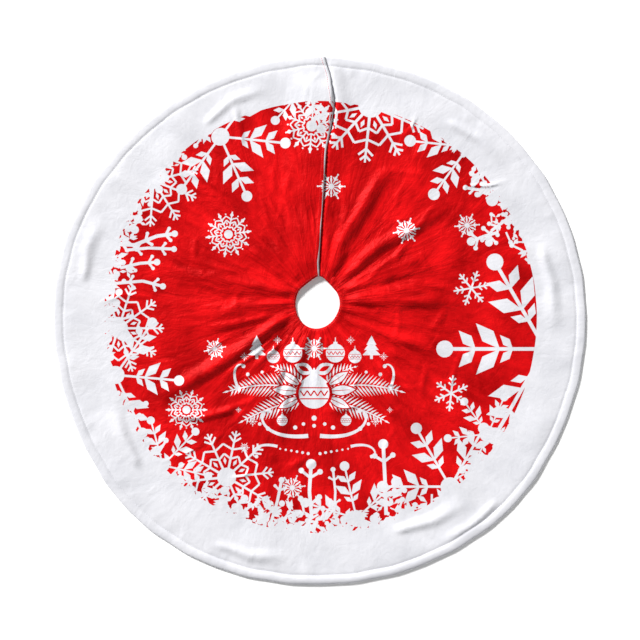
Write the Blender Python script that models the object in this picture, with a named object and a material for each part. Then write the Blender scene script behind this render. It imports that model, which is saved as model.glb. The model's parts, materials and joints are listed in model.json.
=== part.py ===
"""Round velvet tree skirt, laid flat and closed at its slit.

Metres, +Z up. The skirt lies on z = 0 with the centre of its rim on the origin, and its slit runs towards +Y.
The printed velvet face lies on a lining. Rim, neck and both edges of the slit are turned hems. The left flap lies
over the right one, held by hook-and-loop tabs. The cloth is split along the two lines it is folded on: the fold
line along the slit (x = NECK_X) and the cross line through the neck (y = NECK_Y), which ends at the fold line.

Every flat piece is cut from one plan, a triangulation of all seams and edges, and given its thickness by the
height functions below, so that layers that lie on each other follow each other exactly.
"""

import math
from bisect import bisect_right

import bpy
from mathutils import Vector
from mathutils.geometry import delaunay_2d_cdt

# Overall sizes
RIM_RADIUS = 0.450
NECK_HALF_WIDTH = 0.0368
NECK_HALF_LENGTH = 0.0422
NECK_X = -0.0067
NECK_Y = 0.0283
BORDER_WIDTH = 0.084

# Cloth and the space between pieces that touch
LINING_THICK = 0.0010
VELVET_THICK = 0.0020
GAP = 0.0003

# Turned hems: width, height of the roll, height of its two edges
RIM_HEM_WIDTH = 0.016
RIM_HEM_CROWN = 0.0055
NECK_HEM_WIDTH = 0.016
NECK_HEM_CROWN = 0.0045
SLIT_HEM_WIDTH = 0.008
SLIT_HEM_CROWN = 0.0045
HEM_EDGE = 0.0015

# Slit: how far the right flap reaches under the left one, and where it starts beside the neck
UNDERLAP = 0.038
UNDERLAP_START = 0.024
# Edge of the left flap: (share of the way from neck to rim, distance left of the fold line)
SLIT_EDGE = (
    (0.00, 0.0010),
    (0.07, 0.0036),
    (0.28, 0.0054),
    (0.57, 0.0076),
    (0.72, 0.0018),
    (0.78, 0.0010),
    (0.89, 0.0102),
    (1.00, 0.0250),
)

# Hook-and-loop tabs: how far the first one's middle lies from the neck's centre, and the last one's from the rim
TAB_COUNT = 3
TAB_FIRST = 0.095
TAB_LAST_FROM_RIM = 0.08665
TAB_WIDTH = 0.018
TAB_LENGTH = 0.045
TAB_THICK = 0.0015
TAB_CORNER = 0.004
TAB_MARGIN = 0.0017

# Where the left flap climbs over the underlap: full height from here on, and the width of the climb each way
CLIMB_MARGIN = 0.002
CLIMB_WIDTH = 0.045
CLIMB_FROM_CROSS_LINE = 0.020

# Room that one layer of gathered cloth takes when the skirt is folded, and the room left between layers
FULLNESS = 0.011
FOLD_ROOM = 0.001

# Facets
RIM_STEPS = 72
NECK_STEPS = 36
SLIT_STEPS = 24
HEM_BANDS = 4
CORNER_STEPS = 4
PLAN_MARGIN = 0.010
PLAN_TOLERANCE_MM = 1e-4

# Worked out from the sizes above
PRINT_RADIUS = RIM_RADIUS - BORDER_WIDTH
FACE_BOTTOM = LINING_THICK + GAP
FACE_TOP = FACE_BOTTOM + VELVET_THICK
LOOP_BOTTOM = FACE_TOP + GAP
HOOK_BOTTOM = LOOP_BOTTOM + TAB_THICK + GAP
FLAP_LIFT = HOOK_BOTTOM + TAB_THICK + GAP
UNDERLAP_X = NECK_X - UNDERLAP
TAB_LEFT = UNDERLAP_X + SLIT_HEM_WIDTH + GAP + TAB_MARGIN
CLIMB_TOP_X = UNDERLAP_X - CLIMB_MARGIN
CLIMB_FOOT_X = CLIMB_TOP_X - CLIMB_WIDTH
SLIT_START_Y = NECK_Y + NECK_HALF_LENGTH
SLIT_END_Y = math.sqrt(RIM_RADIUS**2 - NECK_X**2)
FIRST_TAB_Y = NECK_Y + TAB_FIRST
TAB_PITCH = (SLIT_END_Y - TAB_LAST_FROM_RIM - FIRST_TAB_Y) / (TAB_COUNT - 1)
FLAP_FOLD_HEIGHT = FULLNESS + FOLD_ROOM
HALF_FOLD_HEIGHT = FLAP_FOLD_HEIGHT + (FULLNESS + FOLD_ROOM) / 2

RED, WHITE = 0, 1


def clear_scene():
    for obj in list(bpy.data.objects):
        bpy.data.objects.remove(obj, do_unlink=True)


def make_material(name, colour, roughness):
    material = bpy.data.materials.new(name)
    material.use_nodes = True
    shader = material.node_tree.nodes["Principled BSDF"]
    shader.inputs["Base Color"].default_value = (*colour, 1.0)
    shader.inputs["Roughness"].default_value = roughness
    shader.inputs["Metallic"].default_value = 0.0
    material.diffuse_color = (*colour, 1.0)
    return material


# Plan: edges and the tests that say on which side of them a point lies


def ring(scale_x, scale_y, centre, steps):
    """Corners of the closed ring that stands for a circle or an ellipse."""
    turn = 2 * math.pi / steps
    return [
        (centre[0] + scale_x * math.cos(i * turn), centre[1] + scale_y * math.sin(i * turn))
        for i in range(steps)
    ]


def ring_share(x, y, scale_x, scale_y, centre, steps):
    """Size of the faceted ring through this point, as a share of the ring of the given size."""
    across = (x - centre[0]) / scale_x
    along = (y - centre[1]) / scale_y
    half_turn = math.pi / steps
    from_middle = math.atan2(along, across) % (2 * half_turn) - half_turn
    return math.hypot(across, along) * math.cos(from_middle) / math.cos(half_turn)


def rim_distance(x, y):
    """How far inside the rim a point lies."""
    return RIM_RADIUS * (1 - ring_share(x, y, RIM_RADIUS, RIM_RADIUS, (0, 0), RIM_STEPS))


def neck_distance(x, y):
    """How far outside the trunk hole a point lies, measured along the hole's width."""
    share = ring_share(x, y, NECK_HALF_WIDTH, NECK_HALF_LENGTH, (NECK_X, NECK_Y), NECK_STEPS)
    return NECK_HALF_WIDTH * (share - 1)


def smooth_value(table, share):
    """Smooth curve through a table's (share, value) pairs."""
    if share <= table[0][0]:
        return table[0][1]
    if share >= table[-1][0]:
        return table[-1][1]
    i = bisect_right([row[0] for row in table], share) - 1
    before, after = table[max(i - 1, 0)], table[min(i + 2, len(table) - 1)]
    (x0, y0), (x1, y1) = table[i], table[i + 1]
    width = x1 - x0
    slope0 = (y1 - before[1]) / (x1 - before[0])
    slope1 = (after[1] - y0) / (after[0] - x0)
    t = (share - x0) / width
    return (
        y0 * (2 * t**3 - 3 * t**2 + 1)
        + y1 * (3 * t**2 - 2 * t**3)
        + slope0 * width * (t**3 - 2 * t**2 + t)
        + slope1 * width * (t**3 - t**2)
    )


def flap_edge_corners():
    """Corners of the left flap's free edge, from inside the trunk hole to past the rim."""
    corners = [(NECK_X - SLIT_EDGE[0][1], NECK_Y + NECK_HALF_LENGTH / 2)]
    for i in range(SLIT_STEPS + 1):
        share = i / SLIT_STEPS
        y = SLIT_START_Y + share * (SLIT_END_Y - SLIT_START_Y)
        corners.append((NECK_X - smooth_value(SLIT_EDGE, share), y))
    corners.append((corners[-1][0], SLIT_END_Y + PLAN_MARGIN))
    return corners


FLAP_EDGE = flap_edge_corners()


def flap_edge_x(y):
    """Where the left flap's free edge crosses this y."""
    if y <= FLAP_EDGE[0][1]:
        return FLAP_EDGE[0][0]
    for (x0, y0), (x1, y1) in zip(FLAP_EDGE, FLAP_EDGE[1:]):
        if y <= y1:
            return x0 + (x1 - x0) * (y - y0) / (y1 - y0)
    return FLAP_EDGE[-1][0]


def on_right_half(x, y):
    underlap = y > NECK_Y + UNDERLAP_START and x > UNDERLAP_X
    return underlap or x > NECK_X + (GAP / 2 if y < NECK_Y else 0)


def on_front_left(x, y):
    return x < NECK_X - GAP / 2 and y < NECK_Y - GAP / 2


def on_back_left(x, y):
    return y > NECK_Y + GAP / 2 and x < flap_edge_x(y)


def from_underlap_edge(x, y):
    return x - UNDERLAP_X


def from_flap_edge(x, y):
    return flap_edge_x(y) - x


def no_slit(x, y):
    return math.inf


def strip_at(x, y, from_slit):
    """The strip of cloth a plan point lies in. The gaps between strips belong to none."""
    from_rim = rim_distance(x, y)
    from_neck = neck_distance(x, y)
    if from_rim < 0 or from_neck < 0:
        return None
    if from_rim < RIM_HEM_WIDTH:
        return "rim_hem"
    if from_neck < NECK_HEM_WIDTH:
        return "neck_hem"
    if from_rim < RIM_HEM_WIDTH + GAP or from_neck < NECK_HEM_WIDTH + GAP:
        return None
    if from_slit(x, y) < SLIT_HEM_WIDTH:
        return "slit_hem"
    if from_slit(x, y) < SLIT_HEM_WIDTH + GAP:
        return None
    return "sheet"


def hem_offsets(width):
    """Distances of a hem's lengthwise creases from its free edge, and the edge of the sheet beside it."""
    return [width * i / HEM_BANDS for i in range(HEM_BANDS + 1)] + [width + GAP]


def plan_edges():
    """All seams and edges of the skirt, seen from above: (corners, closed) pairs."""
    far = RIM_RADIUS + PLAN_MARGIN
    neck_centre = (NECK_X, NECK_Y)
    inside_neck_x = NECK_X - NECK_HALF_WIDTH / 2
    inside_neck_y = NECK_Y - NECK_HALF_LENGTH / 2
    edges = [(ring(PRINT_RADIUS, PRINT_RADIUS, (0, 0), RIM_STEPS), True)]
    for offset in hem_offsets(RIM_HEM_WIDTH):
        edges.append((ring(RIM_RADIUS - offset, RIM_RADIUS - offset, (0, 0), RIM_STEPS), True))
    for offset in hem_offsets(NECK_HEM_WIDTH):
        share = 1 + offset / NECK_HALF_WIDTH
        edges.append((ring(NECK_HALF_WIDTH * share, NECK_HALF_LENGTH * share, neck_centre, NECK_STEPS), True))
    for offset in hem_offsets(SLIT_HEM_WIDTH):
        edges.append(([(x - offset, y) for x, y in FLAP_EDGE], False))
        x = UNDERLAP_X + offset
        edges.append(([(x, NECK_Y + UNDERLAP_START), (x, far)], False))
    for side in (-GAP / 2, GAP / 2):
        edges.append(([(NECK_X + side, -far), (NECK_X + side, inside_neck_y)], False))
        edges.append(([(-far, NECK_Y + side), (inside_neck_x, NECK_Y + side)], False))
    for x in (CLIMB_TOP_X, CLIMB_FOOT_X):
        edges.append(([(x, NECK_Y + GAP / 2), (x, far)], False))
    for y in (NECK_Y + CLIMB_FROM_CROSS_LINE, NECK_Y + UNDERLAP_START):
        edges.append(([(CLIMB_FOOT_X, y), (inside_neck_x, y)], False))
    return edges


def make_plan():
    """Corners and triangles of the plan, triangulated in millimetres and given back in metres."""
    points, links = [], []
    for corners, closed in plan_edges():
        first = len(points)
        points.extend(Vector((x * 1000, y * 1000)) for x, y in corners)
        count = len(corners)
        links.extend((first + i, first + (i + 1) % count) for i in range(count if closed else count - 1))
    corners, _, triangles, _, _, _ = delaunay_2d_cdt(points, links, [], 0, PLAN_TOLERANCE_MM)
    return [(point.x / 1000, point.y / 1000) for point in corners], triangles


# Heights


def share_between(value, low, high):
    return min(max((value - low) / (high - low), 0.0), 1.0)


def flap_lift(x, y):
    """How high the left flap's underside lies above the floor, where it passes over the underlap."""
    climb = share_between(x, CLIMB_FOOT_X, CLIMB_TOP_X)
    return FLAP_LIFT * climb * share_between(y, NECK_Y, NECK_Y + CLIMB_FROM_CROSS_LINE)


def on_floor(x, y):
    return 0.0


def roll_height(distance, width, crown):
    """Top of a turned hem above its underside, at this distance from its free edge."""
    across = share_between(distance, 0.0, width)
    return HEM_EDGE + (crown - HEM_EDGE) * math.sin(math.pi * across)


def strip_heights(strip, layer, underside, from_slit):
    """Two functions, for the bottom and the top of a strip's solid."""
    if layer == "lining":
        return underside, lambda x, y: underside(x, y) + LINING_THICK
    if strip == "sheet":
        return (lambda x, y: underside(x, y) + FACE_BOTTOM), (lambda x, y: underside(x, y) + FACE_TOP)
    distance, width, crown = {
        "rim_hem": (rim_distance, RIM_HEM_WIDTH, RIM_HEM_CROWN),
        "neck_hem": (neck_distance, NECK_HEM_WIDTH, NECK_HEM_CROWN),
        "slit_hem": (from_slit, SLIT_HEM_WIDTH, SLIT_HEM_CROWN),
    }[strip]
    return underside, lambda x, y: underside(x, y) + roll_height(distance(x, y), width, crown)


# Solids


def add_piece(name, corners, faces, pivot, materials, colours=None):
    """Object on its body's pivot, with its mesh given in world coordinates."""
    origin = pivot.matrix_world.translation
    mesh = bpy.data.meshes.new(name)
    mesh.from_pydata([Vector(corner) - origin for corner in corners], [], faces)
    for material in materials:
        mesh.materials.append(material)
    for polygon, colour in zip(mesh.polygons, colours or ()):
        polygon.material_index = colour
    mesh.validate()
    piece = bpy.data.objects.new(name, mesh)
    piece.parent = pivot
    bpy.context.scene.collection.objects.link(piece)
    return piece


def cut_piece(name, plan, inside, bottom, top, pivot, materials):
    """Solid over the plan's triangles that lie inside, between two height functions."""
    points, triangles = plan
    chosen = []
    for triangle in triangles:
        x = sum(points[i][0] for i in triangle) / 3
        y = sum(points[i][1] for i in triangle) / 3
        if inside(x, y):
            chosen.append(triangle)
    used = sorted({i for triangle in chosen for i in triangle})
    row = {index: place for place, index in enumerate(used)}
    above = len(used)
    corners = [(*points[i], bottom(*points[i])) for i in used]
    corners += [(*points[i], top(*points[i])) for i in used]
    faces, colours = [], []
    open_edges = {}
    for triangle in chosen:
        low = [row[i] for i in triangle]
        faces.append([i + above for i in low])
        faces.append(low[::-1])
        x = sum(points[i][0] for i in triangle) / 3
        y = sum(points[i][1] for i in triangle) / 3
        colours += [RED if rim_distance(x, y) > RIM_RADIUS - PRINT_RADIUS else WHITE] * 2
        for start, end in zip(low, low[1:] + low[:1]):
            if open_edges.pop((end, start), None) is None:
                open_edges[(start, end)] = colours[-1]
    for (start, end), colour in open_edges.items():
        faces.append([start, end, end + above, start + above])
        colours.append(colour)
    add_piece(name, corners, faces, pivot, materials, colours)


def add_cloth(plan, body, inside, from_slit, underside, pivot, velvet, lining):
    """Face, lining and hems of one body. A body without a slit edge has no slit hem."""

    def strip_test(strip):
        return lambda x, y: inside(x, y) and strip_at(x, y, from_slit) == strip

    pieces = [("face", "sheet", velvet), ("lining", "sheet", lining)]
    pieces += [("rim_hem", "rim_hem", velvet), ("neck_hem", "neck_hem", velvet)]
    if from_slit is not no_slit:
        pieces.append(("slit_hem", "slit_hem", velvet))
    for label, strip, materials in pieces:
        bottom, top = strip_heights(strip, label, underside, from_slit)
        cut_piece(f"{body}_{label}", plan, strip_test(strip), bottom, top, pivot, materials)


def rounded_outline(left, width, middle_y, length, corner):
    """Counter-clockwise corners of a rectangle with rounded corners."""
    outline = []
    for quarter, (side_x, side_y) in enumerate(((1, 1), (0, 1), (0, 0), (1, 0))):
        centre_x = left + corner + side_x * (width - 2 * corner)
        centre_y = middle_y - length / 2 + corner + side_y * (length - 2 * corner)
        for i in range(CORNER_STEPS + 1):
            angle = math.pi / 2 * (quarter + i / CORNER_STEPS)
            outline.append((centre_x + corner * math.cos(angle), centre_y + corner * math.sin(angle)))
    return outline


def add_tab(name, middle_y, bottom, pivot, material):
    """One half of a hook-and-loop closure, a flat plate."""
    outline = rounded_outline(TAB_LEFT, TAB_WIDTH, middle_y, TAB_LENGTH, TAB_CORNER)
    count = len(outline)
    corners = [(x, y, bottom) for x, y in outline] + [(x, y, bottom + TAB_THICK) for x, y in outline]
    faces = [list(range(count))[::-1], list(range(count, 2 * count))]
    faces += [[i, (i + 1) % count, (i + 1) % count + count, i + count] for i in range(count)]
    add_piece(name, corners, faces, pivot, [material])


def add_pivot(name, place, parent=None):
    """Empty on a body's joint axis."""
    pivot = bpy.data.objects.new(name, None)
    bpy.context.scene.collection.objects.link(pivot)
    pivot.empty_display_size = NECK_HALF_WIDTH
    pivot.parent = parent
    pivot.location = Vector(place) - (parent.matrix_world.translation if parent else Vector())
    bpy.context.view_layer.update()
    return pivot


def main():
    clear_scene()
    red_velvet = make_material("red_printed_velvet", (0.55, 0.012, 0.014), 0.85)
    white_velvet = make_material("white_velvet", (0.86, 0.86, 0.88), 0.85)
    lining_cloth = make_material("lining_cloth", (0.80, 0.80, 0.81), 0.75)
    hook_tape = make_material("hook_tape", (0.74, 0.74, 0.75), 0.60)
    loop_tape = make_material("loop_tape", (0.78, 0.78, 0.79), 0.90)
    velvet = [red_velvet, white_velvet]
    lining = [lining_cloth]

    right_half = add_pivot("right_half", (0.0, 0.0, 0.0))
    front_left = add_pivot("front_left", (NECK_X, NECK_Y, HALF_FOLD_HEIGHT), right_half)
    back_left = add_pivot("back_left", (NECK_X, NECK_Y, FLAP_FOLD_HEIGHT), front_left)

    plan = make_plan()
    add_cloth(plan, "right_half", on_right_half, from_underlap_edge, on_floor, right_half, velvet, lining)
    add_cloth(plan, "front_left", on_front_left, no_slit, on_floor, front_left, velvet, lining)
    add_cloth(plan, "back_left", on_back_left, from_flap_edge, flap_lift, back_left, velvet, lining)
    for i in range(TAB_COUNT):
        middle_y = FIRST_TAB_Y + i * TAB_PITCH
        add_tab(f"loop_tab_{i + 1}", middle_y, LOOP_BOTTOM, right_half, loop_tape)
        add_tab(f"hook_tab_{i + 1}", middle_y, HOOK_BOTTOM, back_left, hook_tape)


main()
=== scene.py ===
"""Round printed velvet tree skirt, laid flat: velvet, lining, closure tabs, thread and the stage around them.

The cloth is one plan in millimetres, a triangulation of the print's shapes, the hems and a fine net of points.
Height functions give it its thickness, rolls and folds. It is cut into four sectors, and those that lie on one body
ride on it.
"""

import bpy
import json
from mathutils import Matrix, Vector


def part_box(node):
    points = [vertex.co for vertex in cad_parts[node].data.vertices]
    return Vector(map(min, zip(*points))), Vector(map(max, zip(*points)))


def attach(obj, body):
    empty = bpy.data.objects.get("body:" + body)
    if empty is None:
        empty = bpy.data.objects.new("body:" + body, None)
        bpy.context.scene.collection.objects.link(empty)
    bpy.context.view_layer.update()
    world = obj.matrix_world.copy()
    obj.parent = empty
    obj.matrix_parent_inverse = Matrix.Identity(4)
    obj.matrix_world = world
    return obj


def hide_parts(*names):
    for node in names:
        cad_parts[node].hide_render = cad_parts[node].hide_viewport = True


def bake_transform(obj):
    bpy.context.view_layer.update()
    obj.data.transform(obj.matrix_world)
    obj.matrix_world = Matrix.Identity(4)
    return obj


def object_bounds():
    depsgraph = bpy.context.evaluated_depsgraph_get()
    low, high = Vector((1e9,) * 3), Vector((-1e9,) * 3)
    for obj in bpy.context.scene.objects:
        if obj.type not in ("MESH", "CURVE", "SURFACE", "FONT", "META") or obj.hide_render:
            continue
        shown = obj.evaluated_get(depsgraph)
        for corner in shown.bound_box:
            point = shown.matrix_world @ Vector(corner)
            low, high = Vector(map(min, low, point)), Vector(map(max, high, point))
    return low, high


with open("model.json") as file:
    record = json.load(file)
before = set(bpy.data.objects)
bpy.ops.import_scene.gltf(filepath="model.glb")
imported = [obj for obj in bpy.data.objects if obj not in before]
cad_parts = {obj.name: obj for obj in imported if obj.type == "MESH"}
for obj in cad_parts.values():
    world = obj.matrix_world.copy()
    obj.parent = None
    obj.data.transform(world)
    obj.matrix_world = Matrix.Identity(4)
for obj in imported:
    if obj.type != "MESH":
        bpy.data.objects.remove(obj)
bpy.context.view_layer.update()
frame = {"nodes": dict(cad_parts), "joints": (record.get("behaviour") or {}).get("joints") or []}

import json
import math
import random
from functools import lru_cache

import bpy
import numpy as np
from bpy.props import FloatProperty, FloatVectorProperty, IntProperty, PointerProperty
from mathutils import Vector
from mathutils.geometry import delaunay_2d_cdt

bl_info = {
    "name": "Printed Velvet Tree Skirt",
    "version": (1, 0, 0),
    "blender": (4, 5, 0),
    "location": "View3D > Sidebar > Tree Skirt",
    "description": "Builds the cloth, closure and stage of a round printed velvet tree skirt",
    "category": "Add Mesh",
}

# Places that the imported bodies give, in millimetres
MM = 1000.0
RIM_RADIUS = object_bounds()[1].x * MM
FOLD_LINE = next(joint for joint in frame["joints"] if joint["name"] == "half_fold")
NECK_X, NECK_Y = (value * MM for value in FOLD_LINE["pos_m"][:2])
HEM_WIDTH = 16.0
NECK_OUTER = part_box("right_half_neck_hem")[1]
NECK_HALF_WIDTH = NECK_OUTER.x * MM - NECK_X - HEM_WIDTH
NECK_HALF_LENGTH = (NECK_OUTER.y * MM - NECK_Y) / (1 + HEM_WIDTH / NECK_HALF_WIDTH)
UNDERLAP_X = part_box("right_half_slit_hem")[0].x * MM
UNDERLAP_Y = NECK_Y + 24.0
UNDERLAP_MARGIN = 2.0
LINING_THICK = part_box("front_left_lining")[1].z * MM
FACE_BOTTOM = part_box("front_left_face")[0].z * MM
FACE_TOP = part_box("front_left_face")[1].z * MM
FLAP_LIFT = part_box("back_left_lining")[1].z * MM - LINING_THICK
FLAP_SAG = FACE_TOP + 0.5
HOOK_TABS = [node for node in sorted(frame["nodes"]) if node.startswith("hook_tab")]
TAB_BOXES = [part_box(node) for node in HOOK_TABS]
TAB_SPANS = [(low.y * MM, high.y * MM) for low, high in TAB_BOXES]
TAB_RIGHT = TAB_BOXES[0][1].x * MM
CLIMB_TOP_X = UNDERLAP_X - UNDERLAP_MARGIN
CLIMB_FOOT_X = CLIMB_TOP_X - 45.0
CLIMB_RISE_Y = 20.0
SLIT_HEM = 8.0
# How far inside the hems the lining ends
LINING_GAP = 0.2
# Seams: how far inside the edge the stitches of the neck and of the slit lie
NECK_SEAM = 3.2
SLIT_SEAM = 6.2
# Edge of the left flap: height above the neck's centre, and how far left of the fold line it lies
FLAP_EDGE = (
    (0, 1), (42, 1), (70, 3.6), (147, 5.4), (258, 7.6), (316, 1.8), (339, 1), (381, 10.2), (422, 25), (440, 25)
)

# The print's own upright leans this far against the slit
PRINT_TURN = math.radians(5.0)
PRINT_RADIUS = 366.0
PRINT_CENTRE = (1.0, 5.0)

# Net of the plan
# Height of an even-sided triangle over its side
ROW_SHARE = 0.866
NET_STEP = 4.6
OUTLINE_STEP = 4.6
RIM_STEPS = 720
NECK_STEPS = 160
SEED = 7


def linear(hex_colour):
    """Linear colour of an sRGB hex string."""
    channels = [int(hex_colour[i : i + 2], 16) / 255 for i in (0, 2, 4)]
    return tuple(c / 12.92 if c <= 0.04045 else ((c + 0.055) / 1.055) ** 2.4 for c in channels)


def turned(x, y, angle, centre=(0.0, 0.0)):
    cos, sin = math.cos(angle), math.sin(angle)
    return (centre[0] + x * cos - y * sin, centre[1] + x * sin + y * cos)


def smooth(value, low, high):
    """Smooth step from 0 at low to 1 at high."""
    t = np.clip((np.asarray(value, float) - low) / (high - low), 0.0, 1.0)
    return t * t * (3 - 2 * t)


# Print: every shape is a convex polygon in millimetres, painted white or red over the ones before it

WHITE, RED = "white", "red"


def circle(centre, radius_x, radius_y, steps):
    x, y = centre
    turn = 2 * math.pi / steps
    return [(x + radius_x * math.cos(i * turn), y + radius_y * math.sin(i * turn)) for i in range(steps)]


def disc(centre, radius, steps=18):
    return circle(centre, radius, radius, steps)


def bar(start, end, width, end_width=None):
    """Straight stroke between two points, tapered where its ends differ."""
    end_width = width if end_width is None else end_width
    along = Vector(end) - Vector(start)
    side = Vector((-along.y, along.x)).normalized()
    a, b = Vector(start), Vector(end)
    corners = (a - side * width / 2, b - side * end_width / 2, b + side * end_width / 2, a + side * width / 2)
    return [tuple(c) for c in corners]


def leaf(base, angle, length, width, belly=0.5):
    """Four-cornered leaf that points along the angle."""
    corners = ((0, 0), (length * belly, -width / 2), (length, 0), (length * belly, width / 2))
    return [turned(x, y, angle, base) for x, y in corners]


def finely_divided(corners):
    """Outline with points added on its long sides, so that the cloth can bend anywhere along them."""
    outline = []
    for a, b in zip(corners, corners[1:] + corners[:1]):
        steps = max(1, round(math.dist(a, b) / OUTLINE_STEP))
        outline.extend((a[0] + (b[0] - a[0]) * i / steps, a[1] + (b[1] - a[1]) * i / steps) for i in range(steps))
    return outline


def polar(radius, angle, centre=(0.0, 0.0)):
    return (centre[0] + radius * math.cos(angle), centre[1] + radius * math.sin(angle))


def leaf_flake(centre, turn, arm, hub, ball, arms=6):
    """Flake of straight stems with three pairs of leaves and a ball on each tip."""
    shapes = [disc(centre, hub, 24)]
    for angle in arm_angles(turn, arms):
        tip = polar(arm, angle, centre)
        shapes.append(bar(centre, tip, arm * 0.036))
        shapes.append(disc(tip, ball))
        for share, length, width in ((0.32, 0.19, 0.085), (0.45, 0.35, 0.15), (0.69, 0.25, 0.115)):
            for side in (-1, 1):
                base = polar(arm * share, angle, centre)
                shapes.append(leaf(base, angle + side * math.radians(47), arm * length, arm * width))
    return shapes


def arm_angles(turn, arms):
    return [math.radians(turn) + i * 2 * math.pi / arms for i in range(arms)]


def twigs(centre, angle, arm, pairs, spread, weight):
    """Pairs of short strokes that fork off an arm, each given by its place and its length as shares of the arm."""
    shapes = []
    for share, length in pairs:
        base = polar(arm * share, angle, centre)
        for side in (-1, 1):
            shapes.append(bar(base, polar(arm * length, angle + side * math.radians(spread), base), arm * weight))
    return shapes


def chevrons(centre, angle, half, arm, rings):
    """Strokes from an arm and the next one that meet halfway between them, given by start, peak and weight."""
    shapes = []
    for start, peak, weight in rings:
        middle = polar(arm * peak, angle + half, centre)
        for side in (0, 2 * half):
            shapes.append(bar(polar(arm * start, angle + side, centre), middle, arm * weight))
    return shapes


def web_flake(centre, turn, arm, hub, arms=10):
    """Flake of thin arms joined by rings of chevrons, with twigs on its tips."""
    shapes = [disc(centre, hub, 20)]
    half = math.pi / arms
    for angle in arm_angles(turn, arms):
        shapes.append(bar(centre, polar(arm, angle, centre), arm * 0.055, arm * 0.035))
        shapes += chevrons(centre, angle, half, arm, ((0.40, 0.50, 0.042), (0.60, 0.71, 0.042)))
        shapes.append(leaf(polar(arm * 0.27, angle + half, centre), angle + half, arm * 0.16, arm * 0.07))
        shapes += twigs(centre, angle, arm, ((0.76, 0.17), (0.88, 0.12)), 48, 0.04)
    return shapes


def lace_flake(centre, turn, arm, hub, arms=10):
    """Middle-sized doily of arms, with a ring of loops and a dense edge of small diamonds."""
    shapes = [disc(centre, hub, 18)]
    half = math.pi / arms
    for angle in arm_angles(turn, arms):
        shapes.append(bar(polar(hub * 1.5, angle, centre), polar(arm, angle, centre), arm * 0.05, arm * 0.06))
        shapes.append(leaf(polar(arm * 0.74, angle, centre), angle, arm * 0.26, arm * 0.16, 0.4))
        shapes += chevrons(centre, angle, half, arm, ((0.28, 0.36, 0.05), (0.48, 0.62, 0.06), (0.66, 0.80, 0.05)))
        shapes.append(leaf(polar(arm * 0.4, angle + half, centre), angle + half, arm * 0.16, arm * 0.08))
        shapes.append(disc(polar(arm * 0.88, angle + half, centre), arm * 0.035, 8))
        shapes += twigs(centre, angle, arm, ((0.62, 0.15),), 46, 0.05)
    return shapes


def sparkle(centre, turn, arm, points=12):
    """Star of narrow rays, every second one shorter, with small barbs on the long ones."""
    shapes = [disc(centre, arm * 0.2, 12)]
    for i, angle in enumerate(arm_angles(turn, points)):
        length = arm * (1.0 if i % 2 == 0 else 0.72)
        shapes.append(leaf(centre, angle, length, arm * 0.15, 0.7))
        shapes.append(disc(polar(length * 0.95, angle, centre), arm * 0.07, 8))
        if i % 2 == 0:
            shapes += twigs(centre, angle, arm, ((0.5, 0.24),), 50, 0.09)
    return shapes


def asterisk(centre, turn, arm):
    """Thin six-armed flake with small forked branches."""
    shapes = []
    for angle in arm_angles(turn, 6):
        shapes.append(bar(centre, polar(arm, angle, centre), arm * 0.10))
        shapes += twigs(centre, angle, arm, ((0.42, 0.26), (0.70, 0.24)), 52, 0.085)
    return shapes


def frost_twig(points, width, ball):
    """Bent twig with a ball on its tip and a small ball on a stub at every bend."""
    shapes = [disc(points[-1], ball)]
    for start, end in zip(points, points[1:]):
        shapes.append(bar(start, end, width))
        angle = math.atan2(end[1] - start[1], end[0] - start[0])
        middle = ((start[0] + end[0]) / 2, (start[1] + end[1]) / 2)
        for side in (-1, 1):
            stub = polar(ball * 2.2, angle + side * math.radians(55), middle)
            shapes.append(bar(middle, stub, width * 0.8))
            shapes.append(disc(stub, ball * 0.55, 12))
    return shapes


def snow_bank(angle_from, angle_to, count, depth, rng):
    """Heap of small flakes, balls and leaves along the border of the red ground."""
    shapes = []
    for _ in range(count):
        angle = math.radians(rng.uniform(angle_from, angle_to))
        radius = PRINT_RADIUS + 6 - abs(rng.gauss(0, depth))
        place = polar(radius, angle, PRINT_CENTRE)
        size = rng.uniform(4, 10)
        kind = rng.random()
        if kind < 0.45:
            shapes.append(disc(place, size * 0.75, 12))
        elif kind < 0.8:
            for i in range(3):
                turn = rng.uniform(0, 2 * math.pi)
                shapes.append(leaf(place, turn + i * 2.1, size * 2.2, size * 0.9))
        else:
            end = polar(size * 2.4, rng.uniform(0, 2 * math.pi), place)
            shapes.append(bar(place, end, size * 0.42))
            shapes.append(disc(end, size * 0.5, 12))
    return shapes


def scroll(start, angle, length, curl, width, steps=26):
    """Tapering stroke that curls up at its end."""
    shapes, point = [], start
    for i in range(steps):
        share = i / steps
        angle += curl * (0.25 + 1.9 * share**2) / steps
        following = polar(length * (1.35 - share) / steps, angle, point)
        end_width = width * (1 - 0.65 * (share + 1 / steps))
        shapes.append(bar(point, following, width * (1 - 0.65 * share), end_width))
        point = following
    shapes.append(disc(point, width * 0.62, 12))
    return shapes


def fir_tree(foot, height):
    """Plain tree of three tiers on a short trunk."""
    x, y = foot
    shapes = [bar((x, y), (x, y + height * 0.25), height * 0.12)]
    for low, top, half in ((0.16, 0.56, 0.40), (0.38, 0.78, 0.31), (0.60, 1.00, 0.21)):
        shapes.append([(x + dx * height, y + dy * height) for dx, dy in ((-half, low), (half, low), (0, top))])
    return shapes


def bauble(centre, radius):
    """Ball with a cap and a ring; its red band is painted over it by bauble_band."""
    x, y = centre
    cap = [(x + dx * radius, y + dy * radius) for dx, dy in ((-0.24, 0.9), (0.24, 0.9), (0.2, 1.2), (-0.2, 1.2))]
    return [disc(centre, radius, 30), cap, bar((x, y + radius * 1.15), (x, y + radius * 1.65), radius * 0.1)]


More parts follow.
